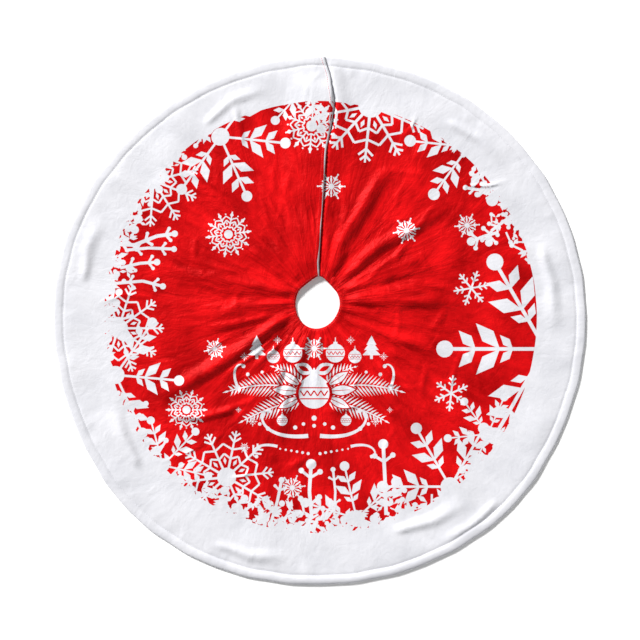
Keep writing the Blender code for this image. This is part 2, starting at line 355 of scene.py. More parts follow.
def bauble_band(centre, radius):
    """Red zigzag line across a ball, between two red rings."""
    x, y = centre
    shapes = []
    for level in (-0.36, 0.36):
        half = radius * math.sqrt(1 - level**2) * 0.98
        shapes.append(bar((x - half, y + level * radius), (x + half, y + level * radius), radius * 0.075))
    teeth = 8
    width = 1.78 * radius
    for i in range(teeth):
        left, right = (x + width * (k / teeth - 0.5) for k in (i, i + 1))
        rise = radius * (0.17 if i % 2 else -0.17)
        shapes.append(bar((left, y - rise), (right, y + rise), radius * 0.085))
    return shapes


def fir_bough(start, angle, length, bend, width):
    """Bough of paired thin needles that get shorter towards its tip."""
    shapes, point = [], start
    steps = round(length / 6.6)
    for i in range(steps):
        share = i / steps
        angle += bend / steps
        following = polar(length / steps, angle, point)
        shapes.append(bar(point, following, width * 0.10, width * 0.08))
        size = width * (0.45 + 0.55 * math.sin(math.pi * min(share + 0.2, 1.0)))
        for side in (-1, 1):
            shapes.append(leaf(point, angle + side * math.radians(50), size, 3.1, 0.4))
        point = following
    shapes.append(leaf(point, angle, width * 0.5, 3.4, 0.4))
    return shapes


def lens(base, angle, length, width, steps=7):
    """Pointed leaf with curved sides."""
    low = [(length * i / steps, -width / 2 * math.sin(math.pi * i / steps)) for i in range(steps + 1)]
    high = [(x, -y) for x, y in low[-2:0:-1]]
    return [turned(x, y, angle, base) for x, y in low + high]


def festive_motif():
    """Wordless motif below the neck: boughs, baubles, a bow, stars, two plain trees and scrolls, painted in order."""
    painted = []
    middle_x = -10

    def paint(colour, shapes):
        painted.extend((shape, colour) for shape in shapes)

    for side in (-1, 1):

        def place(x, y):
            return (middle_x + side * x, y)

        def towards(degrees):
            """Direction, counted from straight out on this side, upwards."""
            return math.radians(degrees if side > 0 else 180 - degrees)

        paint(WHITE, fir_tree(place(97, -66), 40))
        paint(WHITE, fir_bough(place(26, -116), towards(14), 118, side * math.radians(-30), 27))
        paint(WHITE, fir_bough(place(24, -136), towards(-10), 100, side * math.radians(-18), 24))
        paint(WHITE, fir_bough(place(22, -104), towards(42), 50, side * math.radians(-24), 20))
        paint(WHITE, scroll(place(10, -196), towards(-8), 128, side * math.radians(235), 7.0))
        paint(WHITE, scroll(place(62, -214), towards(16), 66, side * math.radians(-250), 5.0))
        paint(WHITE, scroll(place(126, -120), towards(60), 66, side * math.radians(220), 5.4))
        for x, y, radius in ((36, -56, 16), (69, -62, 11), (54, -170, 9)):
            paint(RED, [disc(place(x, y), radius * 1.28, 24), bar(place(x, y), place(x, y + radius * 1.9), radius)])
            paint(WHITE, bauble(place(x, y), radius))
            paint(RED, bauble_band(place(x, y), radius))
        for degrees, length in ((34, 40), (4, 46), (-26, 40)):
            base = place(24, -122 + degrees * 0.35)
            paint(RED, [lens(polar(-3, towards(degrees), base), towards(degrees), length + 7, length * 0.46)])
            paint(WHITE, [lens(base, towards(degrees), length, length * 0.36)])
            paint(RED, [bar(polar(5, towards(degrees), base), polar(length * 0.8, towards(degrees), base), 1.5, 0.8)])
        for x, y, radius in (
            (92, -176, 3.0), (78, -184, 3.6), (18, -176, 3.0), (32, -182, 3.6), (112, -92, 3.2), (88, -88, 2.6)
        ):
            paint(WHITE, [disc(place(x, y), radius, 14)])
        for x, y, radius in ((62, -34, 7), (118, -62, 7), (104, -172, 8), (128, -152, 5)):
            paint(WHITE, sparkle(place(x, y), 0, radius, 8))
        paint(WHITE, [disc(place(10 + 9.5 * i, -226 + 1.6 * i), 2.7 - 0.2 * i, 10) for i in range(6)])
    paint(RED, [disc((middle_x, -124), 31, 30)])
    paint(WHITE, bauble((middle_x, -124), 26))
    paint(RED, bauble_band((middle_x, -124), 26))
    for side in (-1, 1):
        angle = math.radians(90 - side * 66)
        paint(RED, [lens((middle_x, -90), angle, 40, 25)])
        paint(WHITE, [lens((middle_x, -90), angle, 36, 20), bar((middle_x, -90), (middle_x + side * 20, -108), 5, 9)])
        paint(RED, [lens(polar(9, angle, (middle_x, -90)), angle, 20, 8)])
    paint(WHITE, [disc((middle_x, -90), 6.5, 14)])
    paint(WHITE, sparkle((middle_x, -48), 0, 22, 12))
    paint(WHITE, [disc((middle_x, -166), 4.4, 14), disc((middle_x, -179), 3.2, 12)])
    return painted


def print_shapes():
    """All shapes of the print with their colours, in the print's own upright."""
    rng = random.Random(SEED)
    white = []
    for centre, turn, arm, hub, ball in (
        ((-169, 311), -6, 111, 15.6, 9.2),
        ((-24, 398), -11, 79, 12, 7.8),
        ((251, 293), -6, 99, 15, 10.0),
        ((381, -49), 0, 170, 20, 14.4),
        ((-346, -93), -5, 108, 15.2, 8.8),
        ((-265, -245), -14, 78, 11, 6.8),
        ((220, -282), 0, 114, 16.2, 9.6),
        ((284, -193), 6, 68, 14, 6.8),
        ((62, -336), 43, 91, 14, 8.2),
    ):
        white += leaf_flake(centre, turn, arm, hub, ball)
    for centre, turn, arm, hub in (
        ((-158, -266), 6, 80, 16.2),
        ((-341, -14), 0, 77, 16.0),
        ((-282, 236), -22, 78, 14.0),
        ((86, 364), 12, 98, 21.0),
    ):
        white += web_flake(centre, turn, arm, hub)
    for centre, turn, arm, hub in (((-155, 145), 8, 39, 7.5), ((-226, -152), 0, 35, 6.8), ((-14, 328), 14, 46, 9.3)):
        white += lace_flake(centre, turn, arm, hub)
    for centre, turn, arm in (
        ((19, 226), 0, 24),
        ((146, 151), 10, 23),
        ((249, 160), 4, 21.5),
        ((-178, -49), 12, 19),
        ((-47, -284), 8, 22.5),
        ((-128, -216), 0, 9),
    ):
        white += sparkle(centre, turn, arm)
    for centre, turn in (((256, 54), 10), ((222, -124), 24)):
        white += asterisk(centre, turn, 30.5)
    for points, width, ball in (
        (((-352, 128), (-314, 127), (-276, 142), (-246, 146)), 6, 5.6),
        (((-330, 118), (-290, 122), (-247, 120)), 5, 5.0),
        (((-338, 88), (-305, 96), (-276, 98)), 5, 5.6),
        (((-345, 62), (-300, 66), (-266, 57)), 5, 5.2),
        (((112, -330), (110, -270), (107, -210)), 6, 8.5),
        (((-14, -334), (-18, -290), (-15, -244)), 6, 8.8),
        (((24, -330), (26, -290), (22, -253)), 4, 4.2),
        (((-84, -346), (-72, -306), (-65, -271)), 5, 5.0),
        (((332, 190), (307, 202), (275, 219), (246, 224)), 5, 4.4),
        (((334, 176), (310, 166), (290, 151), (286, 131)), 5, 6.6),
        (((300, 148), (278, 142), (256, 133)), 5, 7.3),
    ):
        white += frost_twig(points, width, ball)
    for angle_from, angle_to, count, depth in (
        (240, 296, 190, 20),
        (296, 322, 34, 9),
        (14, 44, 46, 15),
        (44, 60, 8, 4),
        (122, 150, 34, 10),
        (150, 188, 104, 15),
        (188, 238, 70, 9),
    ):
        white += snow_bank(angle_from, angle_to, count, depth, rng)
    return [(shape, WHITE) for shape in white] + festive_motif()


# Plan: distances from the cloth's edges


def flap_edge_x(y):
    """Where the left flap's free edge crosses this height, as a smooth line through its points."""
    heights = np.array([row[0] for row in FLAP_EDGE], float)
    lefts = np.array([row[1] for row in FLAP_EDGE], float)
    up = np.clip(np.asarray(y, float) - NECK_Y, heights[0], heights[-1])
    i = np.clip(np.searchsorted(heights, up, side="right") - 1, 0, len(heights) - 2)
    t = (up - heights[i]) / (heights[i + 1] - heights[i])
    t = t * t * (3 - 2 * t) * 0.5 + t * 0.5
    return NECK_X - (lefts[i] + (lefts[i + 1] - lefts[i]) * t)


def neck_distance(x, y):
    return NECK_HALF_WIDTH * (np.hypot((x - NECK_X) / NECK_HALF_WIDTH, (y - NECK_Y) / NECK_HALF_LENGTH) - 1)


def rim_distance(x, y):
    return RIM_RADIUS - np.hypot(x, y)


def slit_distance(x, y, upper):
    """How far inside the slit's edge a point lies, on the upper (left) or lower (right) layer."""
    above = np.asarray(y) > NECK_Y
    if upper:
        return np.where(above, flap_edge_x(y) - x, 1e3)
    return np.where(above, x - UNDERLAP_X, 1e3)


def white_line_width(y):
    """Width of the white edge that shows along the flap."""
    up = np.asarray(y, float) - NECK_Y
    wide_low, wide_high = np.exp(-(((up - 62) / 26) ** 2)), np.exp(-(((up - 268) / 34) ** 2))
    return 1.5 + 1.3 * wide_low + 1.6 * wide_high + 0.25 * np.sin(up / 9)


RIM_RINGS = (0.0, 0.25, 0.8, 1.7, 2.8, 5.0, 7.5, 10.0, 12.5, 14.5, 16.0, 16.4, 18.0, 21.0)
NECK_RINGS = (0.0, 0.2, 0.6, 1.3, 2.2, 4.5, 7.5, 10.5, 13.5, 16.0, 16.4, 19.0)
SLIT_RINGS = (0.0, 0.2, 0.6, 1.2, 1.8, 3.4, 5.2, 7.0, 8.0, 8.4)


@lru_cache(maxsize=None)
def cloth_plan():
    """Points (n x 2), triangles (m x 3) and whether each triangle is red, for the whole skirt."""
    points, edges, faces, colours = [], [], [], []

    def add_line(corners, closed):
        first, count = len(points), len(corners)
        points.extend(Vector(corner) for corner in corners)
        edges.extend((first + i, first + (i + 1) % count) for i in range(count if closed else count - 1))

    neck = (NECK_X, NECK_Y)
    for offset in RIM_RINGS:
        radius = RIM_RADIUS - offset
        add_line(circle((0, 0), radius, radius, RIM_STEPS), True)
    for offset in NECK_RINGS:
        share = 1 + offset / NECK_HALF_WIDTH
        add_line(circle(neck, NECK_HALF_WIDTH * share, NECK_HALF_LENGTH * share, NECK_STEPS), True)
    centre = turned(*PRINT_CENTRE, PRINT_TURN)
    add_line(circle(centre, PRINT_RADIUS, PRINT_RADIUS, RIM_STEPS), True)
    far = RIM_RADIUS + 4
    ys = np.arange(NECK_Y + 20, far, 4.0)
    for offset in SLIT_RINGS:
        add_line([(float(flap_edge_x(y)) - offset, float(y)) for y in ys], False)
        add_line([(UNDERLAP_X + offset, float(y)) for y in ys if y >= UNDERLAP_Y - 4], False)
    add_line([(float(flap_edge_x(y) - white_line_width(y)), float(y)) for y in ys], False)
    add_line([(UNDERLAP_X - UNDERLAP_MARGIN, UNDERLAP_Y), (NECK_X, UNDERLAP_Y)], False)
    cut = np.linspace(NECK_HALF_WIDTH * 0.5 / math.sqrt(2), far / math.sqrt(2) * 1.2, 90)
    for across, up in ((-1, 1), (-1, -1), (1, -1)):
        add_line([(NECK_X + across * r, NECK_Y + up * r) for r in cut], False)
    row_step = NET_STEP * ROW_SHARE
    for row in range(int(2 * RIM_RADIUS / row_step) + 1):
        y = -RIM_RADIUS + row * row_step
        for column in range(int(2 * RIM_RADIUS / NET_STEP) + 1):
            x = -RIM_RADIUS + (column + 0.5 * (row % 2)) * NET_STEP
            if math.hypot(x, y) < RIM_RADIUS - RIM_RINGS[-1] and neck_distance(x, y) > NECK_RINGS[-1]:
                points.append(Vector((x, y)))
    for shape, colour in print_shapes():
        corners = [turned(x, y, PRINT_TURN) for x, y in shape]
        area = sum(a[0] * b[1] - b[0] * a[1] for a, b in zip(corners, corners[1:] + corners[:1]))
        if area < 0:
            corners.reverse()
        middle = [sum(axis) / len(corners) for axis in zip(*corners)]
        in_hem = max(math.hypot(*corner) for corner in corners) > RIM_RADIUS - HEM_WIDTH - 4
        if in_hem or math.dist(middle, centre) > PRINT_RADIUS + 12:
            continue
        outline = finely_divided(corners)
        first = len(points)
        points.extend(Vector(corner) for corner in outline)
        faces.append(list(range(first, first + len(outline))))
        colours.append(colour)
    out_points, _, triangles, _, _, sources = delaunay_2d_cdt(points, edges, faces, 0, 1e-4)
    plan = np.array([(p.x, p.y) for p in out_points])
    triangles = np.array(triangles, int)
    middle = plan[triangles].mean(axis=1)
    red = np.hypot(middle[:, 0] - centre[0], middle[:, 1] - centre[1]) < PRINT_RADIUS
    for i, inputs in enumerate(sources):
        if inputs:
            red[i] = colours[max(inputs)] == RED
    inside_cloth = (rim_distance(*middle.T) > 0) & (neck_distance(*middle.T) > 0)
    return plan, triangles[inside_cloth], red[inside_cloth]


def sector_mask(middle, sector):
    """Which triangles belong to a sector, by their middles."""
    x, y = middle[:, 0], middle[:, 1]
    across, up = x - NECK_X, y - NECK_Y
    if sector == "front":
        return up < -np.abs(across)
    if sector == "left":
        return (across < 0) & (np.abs(up) < -across) & ((up < 0) | (slit_distance(x, y, True) > 0))
    if sector == "back_left":
        return (up > 0) & (up >= -across) & (slit_distance(x, y, True) > 0)
    return ((across > 0) & (up >= -across)) | ((x > UNDERLAP_X) & (y > UNDERLAP_Y))


SECTORS = ("right", "front", "left", "back_left")
UPPER = {"right": False, "front": False, "left": True, "back_left": True}
HALVES = {
    "right": ("right_half",),
    "front": ("right_half", "front_left"),
    "left": ("front_left", "back_left"),
    "back_left": ("back_left",),
}


# Relief of the laid cloth, in millimetres

# Each fold: the points that it runs through, its height, and the widths of its left and right flanks
FOLDS = (
    (((-41, 44), (-150, 66), (-268, 88)), 7.6, 30, 17),
    (((-34, 66), (-60, 102), (-88, 140)), 6.4, 18, 14),
    (((-24, 74), (-20, 130), (-24, 200)), 2.6, 10, 9),
    (((24, 78), (34, 128), (62, 176), (102, 240), (150, 270)), 8.0, 17, 24),
    (((30, 62), (100, 124), (173, 162), (232, 200)), 6.4, 22, 14),
    (((38, 46), (120, 74), (210, 92)), 3.4, 18, 15),
    (((40, 32), (130, 32), (250, 26)), 8.4, 26, 15),
    (((150, 62), (200, 56), (250, 44)), 4.2, 13, 11),
    (((-40, 16), (-110, -34), (-190, -88), (-300, -156)), 8.0, 15, 26),
    (((-140, -150), (-200, -166), (-270, -160)), 4.6, 11, 16),
    (((-40, 30), (-120, 20), (-215, 12)), 3.8, 18, 15),
    (((30, -8), (80, -76), (130, -148), (200, -196)), 7.4, 16, 24),
    (((36, 6), (120, -30), (215, -58)), 4.4, 17, 14),
    (((0, -16), (-6, -80), (-2, -150)), 3.2, 18, 16),
    (((-24, -8), (-64, -74), (-96, -150)), 4.2, 15, 17),
    (((8, 90), (10, 150), (4, 214)), 3.2, 13, 11),
    (((-30, 250), (-52, 300), (-46, 360)), 2.8, 18, 15),
    (((-300, -250), (-330, -200), (-352, -140)), 3.2, 22, 17),
    (((120, -360), (190, -340), (260, -300)), 3.2, 22, 17),
    (((-398, 60), (-392, 120), (-366, 180)), 2.8, 20, 18),
    (((372, 130), (392, 60), (398, -30)), 3.2, 20, 20),
    (((300, -300), (250, -350), (190, -384)), 3.2, 18, 14),
    (((-180, -372), (-120, -396), (-40, -404)), 3.0, 16, 18),
    (((-200, 330), (-150, 376), (-80, 400)), 2.6, 18, 16),
    (((210, 340), (270, 306), (320, 250)), 2.6, 16, 18),
)
RELIEF_CAP = 10.2
FOLD_SCALE = 1.35
# How far from the neck the gathers reach, and how wide the puckers along the rim's seam are
GATHER_REACH = 75.0
PUCKER_WIDTH = 16.0
# Share of the folds' height that each millimetre of the flap's lift takes away
LIFT_FLATTENS = 0.125
# Raised cloth of the lower layer just beside the flap's edge, and its rest under the flap
BESIDE_FLAP = 3.8
UNDER_FLAP = 0.3


def fold_height(x, y, points, height, left_width, right_width):
    """Height of one ridge along a run of straight lines, with flanks of its own width on each side."""
    nearest = np.full(x.shape, 1e9)
    side = np.zeros(x.shape)
    run = np.zeros(x.shape)
    total = sum(math.dist(a, b) for a, b in zip(points, points[1:]))
    done = 0.0
    for a, b in zip(points, points[1:]):
        length = math.dist(a, b)
        ux, uy = (b[0] - a[0]) / length, (b[1] - a[1]) / length
        along = np.clip((x - a[0]) * ux + (y - a[1]) * uy, 0, length)
        off_x, off_y = x - a[0] - along * ux, y - a[1] - along * uy
        away = np.hypot(off_x, off_y)
        closer = away < nearest
        nearest = np.where(closer, away, nearest)
        side = np.where(closer, ux * off_y - uy * off_x, side)
        run = np.where(closer, (done + along) / total, run)
        done += length
    width = np.where(side > 0, left_width, right_width) * (0.55 + 0.6 * run)
    across = np.clip(nearest / width, 0, 1)
    profile = 0.45 * (0.5 + 0.5 * np.cos(math.pi * across)) + 0.55 * (1 - across) ** 1.6
    return height * profile * smooth(run, 0.0, 0.16) * (1 - smooth(run, 0.55, 1.0))


@lru_cache(maxsize=None)
def ripples():
    """Seeded waves: (turn, wavelength, phase, height) of plain ones, and (count, phase, height) of radial ones."""
    rng = random.Random(SEED + 1)
    ranges = ((0, math.pi), (55, 150), (0, 6.28), (0.12, 0.34))
    plain = [tuple(rng.uniform(*span) for span in ranges) for _ in range(16)]
    gathers = [(count, rng.uniform(0, 6.28), rng.uniform(0.25, 0.6)) for count in (5, 7, 9, 12, 15, 19)]
    puckers = [(count, rng.uniform(0, 6.28), rng.uniform(0.12, 0.3)) for count in (23, 37, 51, 74, 98)]
    return plain, gathers, puckers


@lru_cache(maxsize=None)
def seeded_creases():
    """Small creases, most of them running outwards from the neck."""
    rng = random.Random(SEED + 2)
    creases = []
    for reach, spread, lengths, heights, widths, count in (
        ((44, 90), 0.16, (90, 210), (2.4, 4.6), (11, 20), 18),
        ((46, 150), 0.22, (45, 140), (0.9, 2.6), (4.5, 9), 84),
        ((110, 330), 0.9, (35, 100), (0.7, 2.0), (4.5, 10), 64),
    ):
        for _ in range(count):
            angle = rng.uniform(0, 2 * math.pi)
            heading = angle + rng.gauss(0, spread)
            length = rng.uniform(*lengths)
            first = polar(rng.uniform(*reach), angle, (NECK_X, NECK_Y))
            second = polar(length * 0.5, heading, first)
            third = polar(length * 0.5, heading + rng.gauss(0, 0.3), second)
            width = rng.uniform(*widths)
            creases.append(((first, second, third), rng.uniform(*heights), width, width * rng.uniform(0.55, 1.1)))
    return creases


def relief(x, y, upper):
    """How far the laid cloth is lifted off the floor by its folds."""
    plain, gathers, puckers = ripples()
    height = np.zeros(x.shape)
    for points, *shape in FOLDS:
        height += fold_height(x, y, [turned(px, py, PRINT_TURN) for px, py in points], *shape)
    for crease in seeded_creases():
        height += fold_height(x, y, *crease)
    waves = np.zeros(x.shape)
    for turn, wavelength, phase, size in plain:
        waves += size * np.sin((x * math.cos(turn) + y * math.sin(turn)) * 2 * math.pi / wavelength + phase)
    around = np.arctan2(y - NECK_Y, x - NECK_X)
    from_neck = neck_distance(x, y)
    near_neck = np.exp(-np.clip(from_neck, 0, None) / GATHER_REACH) * smooth(from_neck, 2, 22)
    for count, phase, size in gathers:
        waves += 1.5 * size * near_neck * np.sin(count * around + phase)
    turn = np.arctan2(y, x)
    from_rim = rim_distance(x, y)
    near_rim = np.exp(-(((from_rim - HEM_WIDTH) / PUCKER_WIDTH) ** 2))
    for count, phase, size in puckers:
        waves += size * near_rim * np.sin(count * turn + phase)
    height = FOLD_SCALE * height + np.clip(waves + 0.7, 0, None)
    height = RELIEF_CAP * np.tanh(height / RELIEF_CAP)
    height *= 0.2 + 0.8 * smooth(from_rim, 3, 30)
    height *= smooth(from_neck, -2, 16) * 0.85 + 0.15
    if upper:
        height *= 1 - LIFT_FLATTENS * flap_lift(x, y)
    else:
        beside = x - flap_edge_x(y)
        covered = 1 - smooth(beside, -1, 16)
        height = np.where((y > NECK_Y) & (beside < 16), height * (1 - covered) + UNDER_FLAP * covered, height)
        swell = smooth(beside, 0.6, 3.4) * (1 - smooth(beside, 7, 36)) * smooth(from_rim, 4, 26)
        height = np.where(y > NECK_Y, np.maximum(height, BESIDE_FLAP * swell), height)
    return height


def flap_lift(x, y):
    """How high the left flap's underside lies where it passes over the underlap: lowest between the closure's tabs."""
    over_tabs = np.zeros(x.shape)
    for low, high in TAB_SPANS:
        from_tab = np.maximum(np.maximum(low - y, y - high), 0)
        over_tabs = np.maximum(over_tabs, 1 - smooth(from_tab, 3, 34))
    full = FLAP_SAG + (FLAP_LIFT - FLAP_SAG) * over_tabs * (1 - 0.75 * smooth(x, TAB_RIGHT + 1, TAB_RIGHT + 9))
    climb = np.clip((x - CLIMB_FOOT_X) / (CLIMB_TOP_X - CLIMB_FOOT_X), 0, 1)
    rise = np.clip((y - NECK_Y) / CLIMB_RISE_Y, 0, 1)
    return full * climb * rise


def edge_bulge(x, y):
    """Slight puffiness of the rim's roll, more along its front."""
    turn = np.degrees(np.arctan2(y, x))
    front = np.exp(-(((turn + 85) / 48) ** 2))
    return 0.9 + 1.9 * front + 0.12 * np.sin(np.radians(turn) * 9 + 1) + 0.08 * np.sin(np.radians(turn) * 23)


def cloth_heights(x, y, upper):
    """Underside and top of the velvet, rounded where it turns under at its edges."""
    from_rim, from_neck = rim_distance(x, y), neck_distance(x, y)
    from_slit = slit_distance(x, y, upper)
    floor = relief(x, y, upper)
    if upper:
        floor = floor + flap_lift(x, y)
    roll = np.sin(math.pi * np.clip(from_rim / HEM_WIDTH, 0, 1)) ** 0.8 * (from_rim < HEM_WIDTH)
    seam_groove = np.exp(-(((from_rim - HEM_WIDTH) / 1.6) ** 2))
    top = FACE_TOP + 0.9 * edge_bulge(x, y) * roll - 0.6 * seam_groove
    top += 1.0 * np.sin(math.pi * np.clip(from_neck / 11.0, 0, 1)) * (from_neck < 11)
    top += 0.7 * np.sin(math.pi * np.clip(from_slit / SLIT_HEM, 0, 1)) * (from_slit < SLIT_HEM)
    in_hem = np.minimum(np.minimum(from_rim - HEM_WIDTH, from_neck - HEM_WIDTH), from_slit - SLIT_HEM)
    bottom = FACE_BOTTOM * smooth(in_hem, 0.0, 0.38)
    middle, half = (top + bottom) / 2, (top - bottom) / 2
    rounding = np.ones(x.shape)
    for distance, radius in ((from_rim, 2.8), (from_neck, 2.2), (from_slit, 1.8)):
        inward = np.clip(distance / radius, 0, 1)
        rounding *= np.sqrt(np.clip(1 - (1 - inward) ** 2, 0, 1))
    return floor + middle - half * rounding, floor + middle + half * rounding, floor


# Slight unevenness of the rim: (direction in degrees, how far out, spread in degrees)
RIM_SWAYS = (
    (82, -2.5, 16), (118, -5.5, 34), (97, 2.0, 6), (170, 3.0, 20), (230, 7.5, 15), (250, 4.0, 14), (278, -2.0, 14),
    (320, 4.5, 14), (40, 1.5, 20),
)
# The hole is an egg with its tip at the slit: (direction in degrees, how far out, spread in degrees)
NECK_SWAYS = ((90, 3.6, 13), (55, -3.2, 22), (125, -3.2, 22), (250, 1.6, 40), (0, 0.8, 20))


def sway(turn, sways):
    """Sum of the soft bumps in a list at each direction."""
    out = np.zeros(turn.shape)
    for direction, size, spread in sways:
        off = (turn - direction + 180) % 360 - 180
        out += size * np.exp(-((off / spread) ** 2))
    return out


def swayed(x, y):
    """Moves the plan's rim and hole in and out, so that they aren't true curves."""
    turn = np.degrees(np.arctan2(y, x)) % 360
    out = sway(turn, RIM_SWAYS)
    out += 0.4 * np.sin(np.radians(turn) * 31) + 0.3 * np.sin(np.radians(turn) * 47 + 2)
    radius = np.hypot(x, y)
    share = 1 + out * smooth(radius, RIM_RADIUS * 0.72, RIM_RADIUS) / np.maximum(radius, 1)
    across, up = x - NECK_X, y - NECK_Y
    turn = np.degrees(np.arctan2(up, across)) % 360
    reach = np.maximum(np.hypot(across, up), 1)
    push = sway(turn, NECK_SWAYS) * (1 - smooth(neck_distance(x, y), 0, 40)) / reach
    return x * share + across * push, y * share + up * push


# Making meshes


def add_object(name, mesh, materials, flat=False):
    obj = bpy.data.objects.new(name, mesh)
    bpy.context.scene.collection.objects.link(obj)
    for material in materials[len(mesh.materials):]:
        mesh.materials.append(material)
    if not flat:
        mesh.shade_smooth()
    return obj


def follow(obj, sector):
    """Makes a piece of a sector ride on its body; a piece between two bodies only has its place baked into its mesh.
    """
    bodies = HALVES[sector]
    if len(bodies) == 1:
        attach(obj, bodies[0])
        return
    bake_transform(obj)


def closed_sheet(plan, triangles, bottom, top):
    """Corners and triangles of a closed sheet: its top, its underside, and walls where the two don't meet."""
    used, compact = np.unique(triangles, return_inverse=True)
    compact = compact.reshape(triangles.shape)
    count = len(used)
    x, y = swayed(*plan[used].T)
    meet = top[used] - bottom[used] < 1e-3
    below = np.where(meet, np.arange(count), np.cumsum(~meet) - 1 + count)
    corners = np.concatenate([np.column_stack([x, y, top[used]]), np.column_stack([x, y, bottom[used]])[~meet]])
    upper_faces, lower_faces = compact, below[compact][:, ::-1]
    edges = np.concatenate([compact[:, [0, 1]], compact[:, [1, 2]], compact[:, [2, 0]]])
    codes = edges[:, 0] * count + edges[:, 1]
    lonely = edges[~np.isin(codes, edges[:, 1] * count + edges[:, 0])]
    a, b = lonely[:, 0], lonely[:, 1]
    walls = []
    for first, second, third in ((a, below[a], below[b]), (a, below[b], b)):
        wall = np.column_stack([first, second, third])
        whole = (wall[:, 0] != wall[:, 1]) & (wall[:, 1] != wall[:, 2]) & (wall[:, 0] != wall[:, 2])
        walls.append(wall[whole])
    return corners, upper_faces, lower_faces, walls


def gathered_normals(sheets):
    """Normals shared by all sectors, so that their cuts don't show in the shading."""
    places = np.concatenate([sheet["corners"] for sheet in sheets])
    _, shared = np.unique(np.round(places, 3), axis=0, return_inverse=True)
    shared = shared.ravel()
    total = np.zeros((shared.max() + 1, 3))
    first = 0
    for sheet in sheets:
        corners, faces = sheet["corners"], sheet["open_faces"]
        triangle = corners[faces]
        for i in range(3):
            a = triangle[:, (i + 1) % 3] - triangle[:, i]
            b = triangle[:, (i + 2) % 3] - triangle[:, i]
            normal = np.cross(a, b)
            size = np.linalg.norm(normal, axis=1, keepdims=True)
            lengths = np.linalg.norm(a, axis=1) * np.linalg.norm(b, axis=1)
            angle = np.arcsin(np.clip(size[:, 0] / np.maximum(lengths, 1e-12), 0, 1))
            np.add.at(total, shared[first + faces[:, i]], normal / np.maximum(size, 1e-12) * angle[:, None])
        first += len(corners)
    total /= np.maximum(np.linalg.norm(total, axis=1, keepdims=True), 1e-12)
    result, first = [], 0
    for sheet in sheets:
        result.append(total[shared[first : first + len(sheet["corners"])]])
        first += len(sheet["corners"])
    return result


def lay_map(mesh, corners, sector):
    """UV map of turns round the neck, counted from the slit, and metres from the neck."""
    across, up = corners[:, 0] - NECK_X, corners[:, 1] - NECK_Y
    turns = np.degrees(np.arctan2(up, across)) / 360
    turns = turns + 1 if sector == "right" else turns % 1.0
    values = np.column_stack([turns, np.hypot(across, up) / MM])
    loops = np.zeros(len(mesh.loops), np.int32)
    mesh.loops.foreach_get("vertex_index", loops)
    mesh.uv_layers.new(name="lay").data.foreach_set("uv", values[loops].ravel())


def build_sheets(label, choose, heights, colour_of):
    """Meshes of one layer of the skirt, one for each sector, with their material rows."""
    plan, triangles, red = cloth_plan()
    middle = plan[triangles].mean(axis=1)
    sheets = []
    for sector in SECTORS:
        mask = sector_mask(middle, sector) & choose(*middle.T, UPPER[sector])
        bottom, top = heights(plan[:, 0], plan[:, 1], UPPER[sector])
        corners, upper, lower, walls = closed_sheet(plan, triangles[mask], bottom, top)
        rows, wall_row = colour_of(middle[mask], red[mask], UPPER[sector])
        sheets.append({
            "name": f"{label}_{sector}",
            "sector": sector,
            "corners": corners,
            "faces": np.concatenate([upper, lower, *walls]),
            "open_faces": np.concatenate([upper, lower]),
            "rows": np.concatenate([rows, rows, np.full(sum(map(len, walls)), wall_row)]),
        })
    for sheet, normals in zip(sheets, gathered_normals(sheets)):
        mesh = bpy.data.meshes.new(sheet["name"])
        mesh.from_pydata((sheet["corners"] / MM).tolist(), [], sheet["faces"].tolist())
        mesh.polygons.foreach_set("material_index", sheet["rows"].astype(np.int32))
        lay_map(mesh, sheet["corners"], sheet["sector"])
        mesh.shade_smooth()
        mesh.update()
        mesh.normals_split_custom_set_from_vertices(normals.tolist())
        sheet["mesh"] = mesh
    return sheets


# Materials


def set_inputs(tree, node, values):
    """Links each value that is a socket to the node's input, and sets any other on it."""
    for name, value in values.items():
        if isinstance(value, bpy.types.NodeSocket):
            tree.links.new(value, node.inputs[name])
        else:
            node.inputs[name].default_value = value


def add_node(tree, kind, values=None, **settings):
    """Adds a node with its settings, inputs and links."""
    node = tree.nodes.new(kind)
    for name, value in settings.items():
        setattr(node, name, value)
    set_inputs(tree, node, values or {})
    return node


def new_material(name):
    """Material with an empty tree but for its shader and output."""
    material = bpy.data.materials.new(name)
    material.use_nodes = True
    tree = material.node_tree
    return material, tree, tree.nodes["Principled BSDF"]


